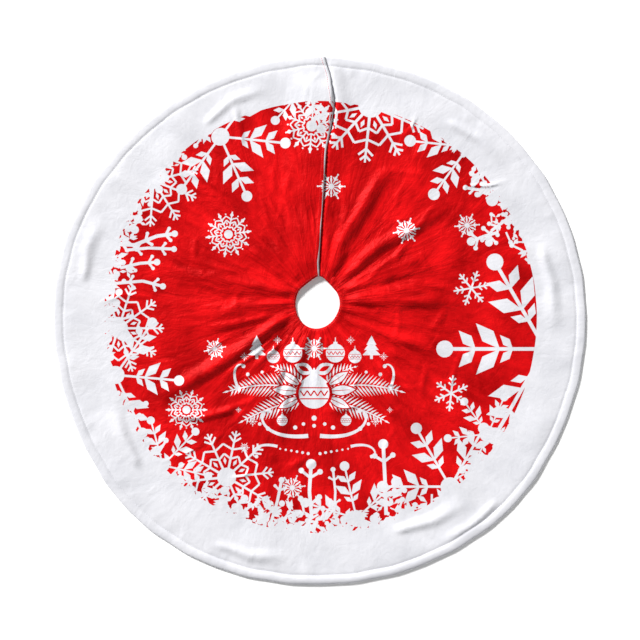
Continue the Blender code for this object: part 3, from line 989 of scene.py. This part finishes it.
def velvet_material(name, colour, shaded_copy_colour, shine_tint, shine, sheen, nap, crush):
    """Short-pile polyester velvet, dyed or bare: crushed nap runs outwards from the neck over a fine upright pile.

    Its base colour is mixed by noise between a lit copy and a shaded copy. This paints the sheen and shade of the
    crushed nap as light and shaded streaks, partly the nap's own uneven tone. The shader gives a soft broad shine on
    the folds and a pale sheen where the pile is seen edge on.
    """
    material, tree, shader = new_material(name)
    place = add_node(tree, "ShaderNodeTexCoord").outputs["Object"]
    lay = add_node(tree, "ShaderNodeUVMap", uv_map="lay").outputs["UV"]
    wide = add_node(tree, "ShaderNodeMapping", {"Vector": lay, "Scale": (46.0, 10.0, 1.0)}).outputs[0]
    narrow = add_node(tree, "ShaderNodeMapping", {"Vector": lay, "Scale": (170.0, 36.0, 1.0)}).outputs[0]
    noises = {}
    for key, vector, scale, detail, roughness, distortion in (
        # Streaks of crushed nap that run outwards: about 50 to the turn and 100 mm long, and finer strands over them
        ("streaks", wide, 1.0, 4.0, 0.62, 0.7),
        ("strands", narrow, 1.0, 3.0, 0.6, 0.4),
        # Broad patches where the nap was stroked the other way, about 80 mm, which only steer the painted sheen and
        # shade in the base colour
        ("patches", place, 12.0, 3.0, 0.55, 0.0),
        # Crumpled dents, about 15 mm
        ("dents", place, 60.0, 3.0, 0.6, 0.8),
        # Pile tufts, about 1.2 mm
        ("tufts", place, 850.0, 2.0, 0.6, 0.0),
    ):
        values = {"Vector": vector, "Scale": scale, "Detail": detail, "Roughness": roughness, "Distortion": distortion}
        noises[key] = add_node(tree, "ShaderNodeTexNoise", values).outputs["Fac"]
    # Share of the lit copy in the base colour from streaks, strands, patches and tufts: painted sheen and shade of the
    # nap, partly the nap's own uneven tone
    lit_copy_share = 0.5
    for key, low, high, part in (
        ("streaks", 0.3, 0.7, nap),
        ("strands", 0.3, 0.7, nap * 0.5),
        ("patches", 0.35, 0.65, nap * 1.1),
        ("tufts", 0.3, 0.7, nap * 0.3),
    ):
        values = {"Value": noises[key], "From Min": low, "From Max": high, "To Min": -part, "To Max": part}
        spread = add_node(tree, "ShaderNodeMapRange", values).outputs[0]
        shade = add_node(tree, "ShaderNodeMath", {0: lit_copy_share, 1: spread}, operation="ADD")
        lit_copy_share = shade.outputs[0]
    shade.use_clamp = True
    # Base colour mixed from the painted shaded copy to the lit copy of the velvet
    values = {"Factor": lit_copy_share, 6: (*shaded_copy_colour, 1.0), 7: (*colour, 1.0)}
    mixed = add_node(tree, "ShaderNodeMix", values, data_type="RGBA")
    normal = {}
    for key, strength, distance in (
        ("dents", 0.55, 0.0026 * crush),
        ("streaks", 0.75, 0.0048 * crush),
        ("strands", 0.5, 0.0010 * crush),
        ("tufts", 0.3, 0.0004),
    ):
        values = {"Height": noises[key], "Strength": strength, "Distance": distance, **normal}
        normal = {"Normal": add_node(tree, "ShaderNodeBump", values).outputs[0]}
    finish = {
        "Base Color": mixed.outputs[2],
        "Roughness": 0.46,
        "Specular IOR Level": shine,
        "Specular Tint": (*shine_tint, 1.0),
        "Sheen Weight": sheen,
        "Sheen Roughness": 0.4,
        "Sheen Tint": (*shine_tint, 1.0),
    }
    set_inputs(tree, shader, {**finish, **normal})
    return material


def woven_material(name, colour, pitch, depth, roughness):
    """Plain weave: two sets of threads that cross at this pitch in metres, with slightly darker slubs."""
    material, tree, shader = new_material(name)
    place = add_node(tree, "ShaderNodeTexCoord").outputs["Object"]
    threads = [
        add_node(
            tree, "ShaderNodeTexWave", {"Vector": place, "Scale": math.pi / 10 / pitch}, bands_direction=direction
        ).outputs["Fac"]
        for direction in "XY"
    ]
    crossed = add_node(tree, "ShaderNodeMath", {0: threads[0], 1: threads[1]}, operation="MAXIMUM")
    slubs = add_node(tree, "ShaderNodeTexNoise", {"Vector": place, "Scale": 55.0, "Detail": 3.0})
    values = {"Value": slubs.outputs["Fac"], "To Min": 0.82, "To Max": 1.08}
    shade = add_node(tree, "ShaderNodeMapRange", values).outputs[0]
    values = {"Factor": 1.0, 6: (*colour, 1.0), 7: shade}
    tinted = add_node(tree, "ShaderNodeMix", values, data_type="RGBA", blend_type="MULTIPLY")
    bump = add_node(tree, "ShaderNodeBump", {"Height": crossed.outputs[0], "Strength": 0.6, "Distance": depth})
    finish = {"Base Color": tinted.outputs[2], "Normal": bump.outputs[0], "Roughness": roughness, "Sheen Weight": 0.15}
    set_inputs(tree, shader, finish)
    return material


def thread_material(name, colour):
    """Twisted polyester sewing thread: fine slanting ply lines, about 0.35 mm apart, with painted shade in the grooves
    between them.
    """
    material, tree, shader = new_material(name)
    place = add_node(tree, "ShaderNodeTexCoord").outputs["Object"]
    slant = add_node(tree, "ShaderNodeMapping", {"Vector": place, "Rotation": (0.3, 0.2, 0.9)})
    ply = add_node(tree, "ShaderNodeTexWave", {"Vector": slant.outputs[0], "Scale": 900.0}).outputs["Fac"]
    # Painted shade in the grooves between the plies: the colour is darkened down to three quarters along each ply line
    shade = add_node(tree, "ShaderNodeMapRange", {"Value": ply, "To Min": 0.75, "To Max": 1.0}).outputs[0]
    values = {"Factor": 1.0, 6: (*colour, 1.0), 7: shade}
    tinted = add_node(tree, "ShaderNodeMix", values, data_type="RGBA", blend_type="MULTIPLY")
    bump = add_node(tree, "ShaderNodeBump", {"Height": ply, "Strength": 0.5, "Distance": 0.0001})
    set_inputs(tree, shader, {"Base Color": tinted.outputs[2], "Normal": bump.outputs[0], "Roughness": 0.55})
    return material


@lru_cache(maxsize=None)
def finishes():
    """All finishes of the skirt, made once from the colours in the panel."""
    settings = bpy.context.scene.skirt_colours
    colours = {key: tuple(getattr(settings, key)) for key in SkirtColours.__annotations__}
    red, white = (1.0, 0.03, 0.03), (1.0, 1.0, 1.0)
    return {
        "red_velvet": velvet_material(
            "dyed_red_velvet", colours["red"], colours["red_shade"], red, 0.7, 0.25, 0.24, 1.0
        ),
        "white_velvet": velvet_material(
            "undyed_white_velvet", colours["white"], colours["white_shade"], white, 0.3, 0.2, 0.2, 0.4
        ),
        "lining": woven_material("plain_woven_lining", colours["lining"], 0.0007, 0.0002, 0.72),
        "hook_tape": woven_material("woven_hook_tape", colours["tape"], 0.0009, 0.0003, 0.6),
        "loop_tape": woven_material("brushed_loop_tape", colours["tape"], 0.0009, 0.0003, 0.85),
        "red_thread": thread_material("red_sewing_thread", colours["red"]),
        "white_thread": thread_material("white_sewing_thread", colours["white"]),
    }


# Geometry Nodes


def new_tree(name, inputs):
    """Node tree for a modifier, with one geometry input and the named number inputs."""
    tree = bpy.data.node_groups.new(name, "GeometryNodeTree")
    tree.interface.new_socket("Path", in_out="INPUT", socket_type="NodeSocketGeometry")
    for label, value in inputs.items():
        kind = {type(None): "Material", int: "Int", float: "Float"}[type(value)]
        socket = tree.interface.new_socket(label, in_out="INPUT", socket_type="NodeSocket" + kind)
        if value is not None:
            socket.default_value = value
    tree.interface.new_socket("Result", in_out="OUTPUT", socket_type="NodeSocketGeometry")
    return tree, tree.nodes.new("NodeGroupInput"), tree.nodes.new("NodeGroupOutput")


def finish_tree(tree, source, result, output):
    """Every tree ends in plain geometry with its material."""
    real = add_node(tree, "GeometryNodeRealizeInstances", {"Geometry": result})
    values = {"Geometry": real.outputs[0], "Material": source.outputs["Finish"]}
    dressed = add_node(tree, "GeometryNodeSetMaterial", values)
    tree.links.new(dressed.outputs[0], output.inputs["Result"])
    return tree


@lru_cache(maxsize=None)
def stitch_tree():
    """Row of stitches along the path's edges, each a slim bead that lies along it."""
    inputs = {"Pitch": 0.004, "Length": 0.003, "Thread": 0.0006, "Finish": None}
    tree, source, output = new_tree("stitch_row", inputs)
    sizes = source.outputs
    curve = add_node(tree, "GeometryNodeMeshToCurve", {"Mesh": sizes["Path"]})
    values = {"Curve": curve.outputs[0], "Length": sizes["Pitch"]}
    spots = add_node(tree, "GeometryNodeCurveToPoints", values, mode="LENGTH").outputs
    bead = add_node(tree, "GeometryNodeMeshUVSphere", {"Segments": 8, "Rings": 6, "Radius": 0.5})
    size = add_node(tree, "ShaderNodeCombineXYZ", {"X": sizes["Thread"], "Y": sizes["Thread"], "Z": sizes["Length"]})
    values = {"Points": spots["Points"], "Instance": bead.outputs["Mesh"], "Rotation": spots["Rotation"]}
    placed = add_node(tree, "GeometryNodeInstanceOnPoints", {**values, "Scale": size.outputs[0]})
    return finish_tree(tree, source, placed.outputs[0], output)


@lru_cache(maxsize=None)
def pile_tree():
    """Hooks or loops stood on a face: bent wires on seeded points, each turned by chance."""
    inputs = {"Spacing": 0.0016, "Height": 0.0008, "Wire": 0.0002, "Bend": 3.6, "Turn Spread": 0.4, "Seed": 3}
    tree, source, output = new_tree("hook_or_loop_pile", {**inputs, "Finish": None})
    sizes = source.outputs
    values = {"Mesh": sizes["Path"], "Distance Min": sizes["Spacing"], "Density Max": 900000.0, "Seed": sizes["Seed"]}
    spots = add_node(tree, "GeometryNodeDistributePointsOnFaces", values, distribute_method="POISSON").outputs
    values = {"Resolution": 7, "Radius": sizes["Height"], "Sweep Angle": sizes["Bend"]}
    arc = add_node(tree, "GeometryNodeCurveArc", values)
    values = {"Geometry": arc.outputs[0], "Rotation": (math.pi / 2, 0.0, 0.0)}
    upright = add_node(tree, "GeometryNodeTransform", values)
    ring = add_node(tree, "GeometryNodeCurvePrimitiveCircle", {"Resolution": 3, "Radius": sizes["Wire"]})
    values = {"Curve": upright.outputs[0], "Profile Curve": ring.outputs[0], "Fill Caps": True}
    wire = add_node(tree, "GeometryNodeCurveToMesh", values)
    low = add_node(tree, "ShaderNodeMath", {0: sizes["Turn Spread"], 1: -1.0}, operation="MULTIPLY")
    values = {2: low.outputs[0], 3: sizes["Turn Spread"], "Seed": sizes["Seed"]}
    chance = add_node(tree, "FunctionNodeRandomValue", values, data_type="FLOAT")
    turn = add_node(tree, "ShaderNodeCombineXYZ", {"Z": chance.outputs[1]})
    as_rotation = add_node(tree, "FunctionNodeEulerToRotation", {"Euler": turn.outputs[0]})
    values = {"Rotation": spots["Rotation"], "Rotate By": as_rotation.outputs[0]}
    spin = add_node(tree, "FunctionNodeRotateRotation", values, rotation_space="LOCAL")
    values = {"Points": spots["Points"], "Instance": wire.outputs[0], "Rotation": spin.outputs[0]}
    placed = add_node(tree, "GeometryNodeInstanceOnPoints", values)
    return finish_tree(tree, source, placed.outputs[0], output)


def grow(name, tree, mesh, values):
    """Runs a tree on a mesh and gives its result as a plain mesh."""
    carrier = bpy.data.objects.new(f"{name}_carrier", mesh)
    bpy.context.scene.collection.objects.link(carrier)
    modifier = carrier.modifiers.new("tree", "NODES")
    modifier.node_group = tree
    for item in tree.interface.items_tree:
        if item.in_out == "INPUT" and item.name in values:
            modifier[item.identifier] = values[item.name]
    evaluated = carrier.evaluated_get(bpy.context.evaluated_depsgraph_get())
    result = bpy.data.meshes.new_from_object(evaluated)
    result.name = name
    bpy.data.objects.remove(carrier, do_unlink=True)
    if not result.polygons:
        raise RuntimeError(f"{name} came out empty")
    return result


def path_mesh(name, rows):
    """Mesh of open polylines, given in millimetres."""
    corners, edges = [], []
    for row in rows:
        first = len(corners)
        corners.extend((x / MM, y / MM, z / MM) for x, y, z in row)
        edges.extend((first + i, first + i + 1) for i in range(len(row) - 1))
    mesh = bpy.data.meshes.new(name)
    mesh.from_pydata(corners, edges, [])
    return mesh


# Settings


def colour_setting(name, hex_colour, description):
    default = linear(hex_colour)
    return FloatVectorProperty(name=name, description=description, subtype="COLOR", min=0, max=1, default=default)


def length_setting(name, default, least, description):
    return FloatProperty(name=name, description=description, unit="LENGTH", default=default, min=least)


class SkirtColours(bpy.types.PropertyGroup):
    # Each velvet comes as a lit copy and a painted shaded copy; noise mixes its base colour between them as painted
    # sheen and shade of the nap
    red: colour_setting("Red ground", "DE1115", "Printed velvet, nap towards the light")
    red_shade: colour_setting("Red ground, nap away", "880305", "Printed velvet, nap away from the light")
    white: colour_setting("White velvet", "D8D8DD", "Border and flakes, nap towards the light")
    white_shade: colour_setting("White velvet, nap away", "C6C7CD", "Border and flakes, nap away from the light")
    lining: colour_setting("Lining", "DCDCE0", "Plain woven lining")
    tape: colour_setting("Tape", "EDEDEF", "Hook and loop tape")


class SkirtSizes(bpy.types.PropertyGroup):
    stitch_pitch: length_setting("Stitch pitch", 0.0038, 0.001, "Distance from stitch to stitch")
    stitch_length: length_setting("Stitch length", 0.0029, 0.001, "Length of thread that shows")
    thread_thick: length_setting("Thread", 0.0006, 0.0001, "Thickness of the sewing thread")
    hook_spacing: length_setting("Hook spacing", 0.0013, 0.0005, "Distance between hooks")
    loop_spacing: length_setting("Loop spacing", 0.0011, 0.0005, "Distance between loops")
    pile_seed: IntProperty(name="Pile seed", description="Seed of the hooks' and loops' places", default=3)


class StageSettings(bpy.types.PropertyGroup):
    lens: FloatProperty(name="Lens", description="Focal length in millimetres", default=100.0, min=20)
    half_view: length_setting("Half view", 0.5424, 0.1, "Half of the width seen at the floor")
    key_power: FloatProperty(name="Key light", description="Power in watts", default=12700.0, min=0)
    fill_power: FloatProperty(name="Fill light", description="Power in watts", default=70.0, min=0)
    sky: FloatProperty(name="Sky", description="Brightness of the plain surroundings", default=0.17, min=0)


# Pieces


def velvet_heights(x, y, upper):
    bottom, top, _ = cloth_heights(x, y, upper)
    return bottom, top


def lining_heights(x, y, upper):
    _, _, floor = cloth_heights(x, y, upper)
    return floor, floor + LINING_THICK


def everywhere(x, y, upper):
    return np.ones(x.shape, bool)


def inside_hems(x, y, upper):
    from_edges = np.minimum(rim_distance(x, y), neck_distance(x, y))
    return (from_edges > HEM_WIDTH + LINING_GAP) & (slit_distance(x, y, upper) > SLIT_HEM + LINING_GAP)


def velvet_rows(middle, red, upper):
    """Material row of each triangle, and of the walls: 0 red, 1 white."""
    x, y = middle.T
    edge = upper & (slit_distance(x, y, upper) < white_line_width(y))
    return np.where(red & ~edge, 0, 1), 1


def plain_rows(middle, red, upper):
    return np.zeros(len(red), int), 0


VELVET_NODES = {
    "right": ("right_half_face", "right_half_rim_hem", "right_half_neck_hem", "right_half_slit_hem"),
    "front": ("front_left_face", "front_left_rim_hem", "front_left_neck_hem", "right_half_face"),
    "left": ("front_left_face", "front_left_rim_hem", "front_left_neck_hem", "back_left_face"),
    "back_left": ("back_left_face", "back_left_rim_hem", "back_left_neck_hem", "back_left_slit_hem"),
}
LINING_NODES = {
    "right": ("right_half_lining",),
    "front": ("front_left_lining", "right_half_lining"),
    "left": ("front_left_lining", "back_left_lining"),
    "back_left": ("back_left_lining",),
}


def flat_area(sector, choose):
    """Area in square metres of a layer's sector as it is cut."""
    plan, triangles, _ = cloth_plan()
    middle = plan[triangles].mean(axis=1)
    corners = plan[triangles[sector_mask(middle, sector) & choose(*middle.T, UPPER[sector])]]
    a, b = corners[:, 1] - corners[:, 0], corners[:, 2] - corners[:, 0]
    return float(np.abs(a[:, 0] * b[:, 1] - a[:, 1] * b[:, 0]).sum() / 2 / MM**2)


def lay_sheets(sheets, choose, materials, nodes, under):
    for sheet in sheets:
        sector = sheet["sector"]
        obj = add_object(sheet["name"], sheet["mesh"], materials)
        follow(obj, sector)
        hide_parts(*nodes[sector])
        under(sector)
        flat_area(sector, choose)


class SKIRT_OT_lining(bpy.types.Operator):
    """Makes the plain woven lining in its four sectors"""

    bl_idname = "skirt.lining"
    bl_label = "Lining"

    def execute(self, context):
        sheets = build_sheets("lining", inside_hems, lining_heights, plain_rows)
        materials = [finishes()["lining"]]
        lay_sheets(sheets, inside_hems, materials, LINING_NODES, lambda sector: "floor")
        return {"FINISHED"}


class SKIRT_OT_velvet(bpy.types.Operator):
    """Makes the printed velvet with its turned hems in its four sectors"""

    bl_idname = "skirt.velvet"
    bl_label = "Printed velvet"

    def execute(self, context):
        materials = [finishes()["red_velvet"], finishes()["white_velvet"]]
        sheets = build_sheets("velvet", everywhere, velvet_heights, velvet_rows)
        lay_sheets(sheets, everywhere, materials, VELVET_NODES, lambda sector: f"lining_{sector}")
        return {"FINISHED"}


def surface_row(xs, ys, upper, lift=0.12):
    """Polyline on the velvet's top over the given plan points."""
    _, top, _ = cloth_heights(xs, ys, upper)
    out_x, out_y = swayed(xs, ys)
    return [(float(a), float(b), float(c) + lift) for a, b, c in zip(out_x, out_y, top)]


def seam_rows(sector, seams):
    """Polylines on the velvet for the parts of the seams that lie in a sector."""
    rows = []
    for xs, ys in seams:
        inside = sector_mask(np.column_stack([xs, ys]), sector)
        changes = np.flatnonzero(np.diff(inside.astype(int))) + 1
        for part in np.split(np.arange(len(xs)), changes):
            if inside[part[0]] and len(part) > 3:
                rows.append(surface_row(xs[part], ys[part], UPPER[sector]))
    return rows


def stitches(name, rows, thread, share=(1.0, 1.0, 1.0)):
    """Piece of stitches along the rows; share scales pitch, length and thread."""
    sizes = bpy.context.scene.skirt_sizes
    settings = (sizes.stitch_pitch, sizes.stitch_length, sizes.thread_thick)
    values = {key: size * part for key, size, part in zip(("Pitch", "Length", "Thread"), settings, share)}
    values["Finish"] = finishes()[thread]
    mesh = grow(name, stitch_tree(), path_mesh(name + "_path", rows), values)
    return add_object(name, mesh, [finishes()[thread]])


class SKIRT_OT_thread(bpy.types.Operator):
    """Sews the rim in white thread, and the neck and the slit in red"""

    bl_idname = "skirt.thread"
    bl_label = "Seam stitches"

    def execute(self, context):
        turn = np.linspace(math.radians(-250), math.radians(110), 2600)
        radius = RIM_RADIUS - HEM_WIDTH
        rim = [(radius * np.cos(turn), radius * np.sin(turn))]
        share = 1 + NECK_SEAM / NECK_HALF_WIDTH
        turn = np.linspace(math.radians(-225), math.radians(135), 600)
        neck = [(NECK_X + NECK_HALF_WIDTH * share * np.cos(turn), NECK_Y + NECK_HALF_LENGTH * share * np.sin(turn))]
        up = np.linspace(NECK_Y + 47, RIM_RADIUS - 6, 500)
        slit = {
            "back_left": [(flap_edge_x(up) - SLIT_SEAM, up)],
            "right": [(np.full(up.shape, UNDERLAP_X + SLIT_SEAM), up)],
        }
        for sector in SECTORS:
            rows = seam_rows(sector, rim)
            follow(stitches(f"rim_stitches_{sector}", rows, "white_thread"), sector)
        for sector in SECTORS:
            rows = seam_rows(sector, neck + slit.get(sector, []))
            follow(stitches(f"hem_stitches_{sector}", rows, "red_thread"), sector)
        return {"FINISHED"}


def rounded_plate(left, right, front, back, bottom, top, corner, bevel, steps=6):
    """Tape with rounded corners and softened edges, in millimetres."""
    outline = []
    for quarter, (x, y) in enumerate(((right, back), (left, back), (left, front), (right, front))):
        centre_x = x - corner if x == right else x + corner
        centre_y = y - corner if y == back else y + corner
        for i in range(steps + 1):
            angle = math.pi / 2 * (quarter + i / steps)
            outline.append((centre_x, centre_y, math.cos(angle), math.sin(angle)))
    levels = ((bottom, bevel), (bottom + bevel, 0.0), (top - bevel, 0.0), (top, bevel))
    corners = []
    for z, inset in levels:
        reach = corner - inset
        corners += [(centre_x + reach * ux, centre_y + reach * uy, z) for centre_x, centre_y, ux, uy in outline]
    count = len(outline)
    faces = [list(range(count))[::-1], list(range(3 * count, 4 * count))]
    for level in range(3):
        for i in range(count):
            a, b = level * count + i, level * count + (i + 1) % count
            faces.append([a, b, b + count, a + count])
    return corners, faces


def pile_face(name, box, level, up):
    """Plain face that hooks or loops are stood on, facing up or down, inside the tape's edge."""
    margin = 2.2
    left, right, front, back = box[0] + margin, box[1] - margin, box[2] + margin, box[3] - margin
    corners = [(left, front), (right, front), (right, back), (left, back)]
    if not up:
        corners.reverse()
    mesh = bpy.data.meshes.new(name)
    mesh.from_pydata([(x / MM, y / MM, level / MM) for x, y in corners], [], [[0, 1, 2, 3]])
    return mesh


def add_tab(kind, index, node, body, up, pile):
    """One tab: its tape, the hooks or loops on one side of it, and the stitches round it just inside its edge."""
    low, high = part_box(node)
    left, right, front, back = (value * MM for value in (low.x, high.x, low.y, high.y))
    bottom, top = low.z * MM, high.z * MM
    material = finishes()[f"{kind}_tape"]
    # The tape's bare side stays where it is sewn on, and the other side leaves room for the pile
    pile_room = 0.62
    levels = (bottom, top - pile_room) if up else (bottom + pile_room, top)
    corners, faces = rounded_plate(left, right, front, back, *levels, 4.0, 0.18)
    mesh = bpy.data.meshes.new(f"{kind}_tape_{index}")
    mesh.from_pydata([(x / MM, y / MM, z / MM) for x, y, z in corners], [], faces)
    tape = add_object(mesh.name, mesh, [material], flat=True)
    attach(tape, body)
    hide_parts(node)
    name = f"{kind}_pile_{index}"
    level = top - 0.72 if up else bottom + 0.7
    face = pile_face(f"{kind}_face_{index}", (left, right, front, back), level, up)
    mesh = grow(name, pile_tree(), face, {"Height": 0.00036, "Finish": material, **pile})
    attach(add_object(name, mesh, [material]), body)
    inset = 1.6
    left, right, front, back = left + inset, right - inset, front + inset, back - inset
    level = top - 0.6 if up else bottom + 0.6
    row = [(x, y, level) for x, y in ((left, front), (right, front), (right, back), (left, back), (left, front))]
    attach(stitches(f"{kind}_tab_stitches_{index}", [row], "white_thread", (0.7, 0.7, 0.8)), body)


class SKIRT_OT_closure(bpy.types.Operator):
    """Makes the hook tabs under the flap and the loop tabs on the underlap"""

    bl_idname = "skirt.closure"
    bl_label = "Hook and loop tabs"

    def execute(self, context):
        sizes = context.scene.skirt_sizes
        loops = {"Spacing": sizes.loop_spacing, "Wire": 0.00006, "Bend": math.radians(200), "Turn Spread": 3.1}
        hooks = {"Spacing": sizes.hook_spacing, "Wire": 0.00008, "Bend": math.radians(250), "Turn Spread": 0.3}
        for i, hook_node in enumerate(HOOK_TABS, 1):
            loops["Seed"], hooks["Seed"] = sizes.pile_seed + i, sizes.pile_seed + 10 + i
            add_tab("loop", i, hook_node.replace("hook", "loop"), "right_half", True, loops)
            add_tab("hook", i, hook_node, "back_left", False, hooks)
        return {"FINISHED"}


def add_light(name, place, target, size, power, colour):
    data = bpy.data.lights.new(name, "AREA")
    data.shape = "DISK"
    data.size = size
    data.energy = power
    data.color = colour
    light = bpy.data.objects.new(name, data)
    bpy.context.scene.collection.objects.link(light)
    light.location = place
    light.rotation_euler = (Vector(target) - Vector(place)).to_track_quat("-Z", "Y").to_euler()


class SKIRT_OT_stage(bpy.types.Operator):
    """Makes the pale floor, the soft lights and the camera straight above"""

    bl_idname = "skirt.stage"
    bl_label = "Stage"

    def execute(self, context):
        settings = context.scene.skirt_stage
        scene = context.scene
        # Smooth matt studio floor
        material, tree, shader = new_material("white_studio_floor")
        set_inputs(tree, shader, {"Base Color": (0.97, 0.97, 0.97, 1.0), "Roughness": 0.9, "Specular IOR Level": 0.0})
        mesh = bpy.data.meshes.new("floor")
        side, level = 6.0, -0.0003
        corners = [(x * side, y * side, level) for x, y in ((-1, -1), (1, -1), (1, 1), (-1, 1))]
        mesh.from_pydata(corners, [], [[0, 1, 2, 3]])
        mesh.materials.append(material)
        floor = bpy.data.objects.new("floor", mesh)
        scene.collection.objects.link(floor)

        # Plain even surroundings
        world = bpy.data.worlds.new("plain_surroundings")
        world.use_nodes = True
        background = world.node_tree.nodes["Background"]
        set_inputs(world.node_tree, background, {"Color": (1.0, 1.0, 1.0, 1.0), "Strength": settings.sky})
        scene.world = world

        add_light("key", turned_place(-14.1, 15.9, 11.6), (0, 0, 0), 6.0, settings.key_power, (1.0, 0.99, 0.98))
        add_light("fill", turned_place(2.6, -2.8, 3.6), (0, 0, 0), 2.5, settings.fill_power, (0.98, 0.99, 1.0))

        data = bpy.data.cameras.new("camera")
        data.lens = settings.lens
        data.sensor_width = 36.0
        camera = bpy.data.objects.new("camera", data)
        scene.collection.objects.link(camera)
        height = settings.half_view * settings.lens / (data.sensor_width / 2)
        camera.location = (0.0, 0.0, height)
        camera.rotation_euler = (0.0, 0.0, PRINT_TURN)
        scene.camera = camera
        scene.view_settings.view_transform = "Standard"
        return {"FINISHED"}


def turned_place(x, y, z):
    """Place given as seen from the camera's upright."""
    return (*turned(x, y, PRINT_TURN), z)


class SKIRT_PT_panel(bpy.types.Panel):
    """Lists the skirt's pieces and settings"""

    bl_idname = "SKIRT_PT_panel"
    bl_label = "Tree Skirt"
    bl_space_type = "VIEW_3D"
    bl_region_type = "UI"
    bl_category = "Tree Skirt"

    def draw(self, context):
        for operator in OPERATORS:
            self.layout.operator(operator.bl_idname)
        for name in ("skirt_colours", "skirt_sizes", "skirt_stage"):
            group = getattr(context.scene, name)
            for key in group.__annotations__:
                self.layout.prop(group, key)


GROUPS = (SkirtColours, SkirtSizes, StageSettings)
OPERATORS = (SKIRT_OT_stage, SKIRT_OT_lining, SKIRT_OT_velvet, SKIRT_OT_thread, SKIRT_OT_closure)


def register():
    for kind in (*GROUPS, *OPERATORS, SKIRT_PT_panel):
        bpy.utils.register_class(kind)
    bpy.types.Scene.skirt_colours = PointerProperty(type=SkirtColours)
    bpy.types.Scene.skirt_sizes = PointerProperty(type=SkirtSizes)
    bpy.types.Scene.skirt_stage = PointerProperty(type=StageSettings)


def unregister():
    for name in ("skirt_colours", "skirt_sizes", "skirt_stage"):
        delattr(bpy.types.Scene, name)
    for kind in reversed((*GROUPS, *OPERATORS, SKIRT_PT_panel)):
        bpy.utils.unregister_class(kind)


def main():
    register()
    bpy.ops.skirt.stage()
    bpy.ops.skirt.lining()
    bpy.ops.skirt.velvet()
    bpy.ops.skirt.thread()
    bpy.ops.skirt.closure()


if __name__ == "__main__":
    main()
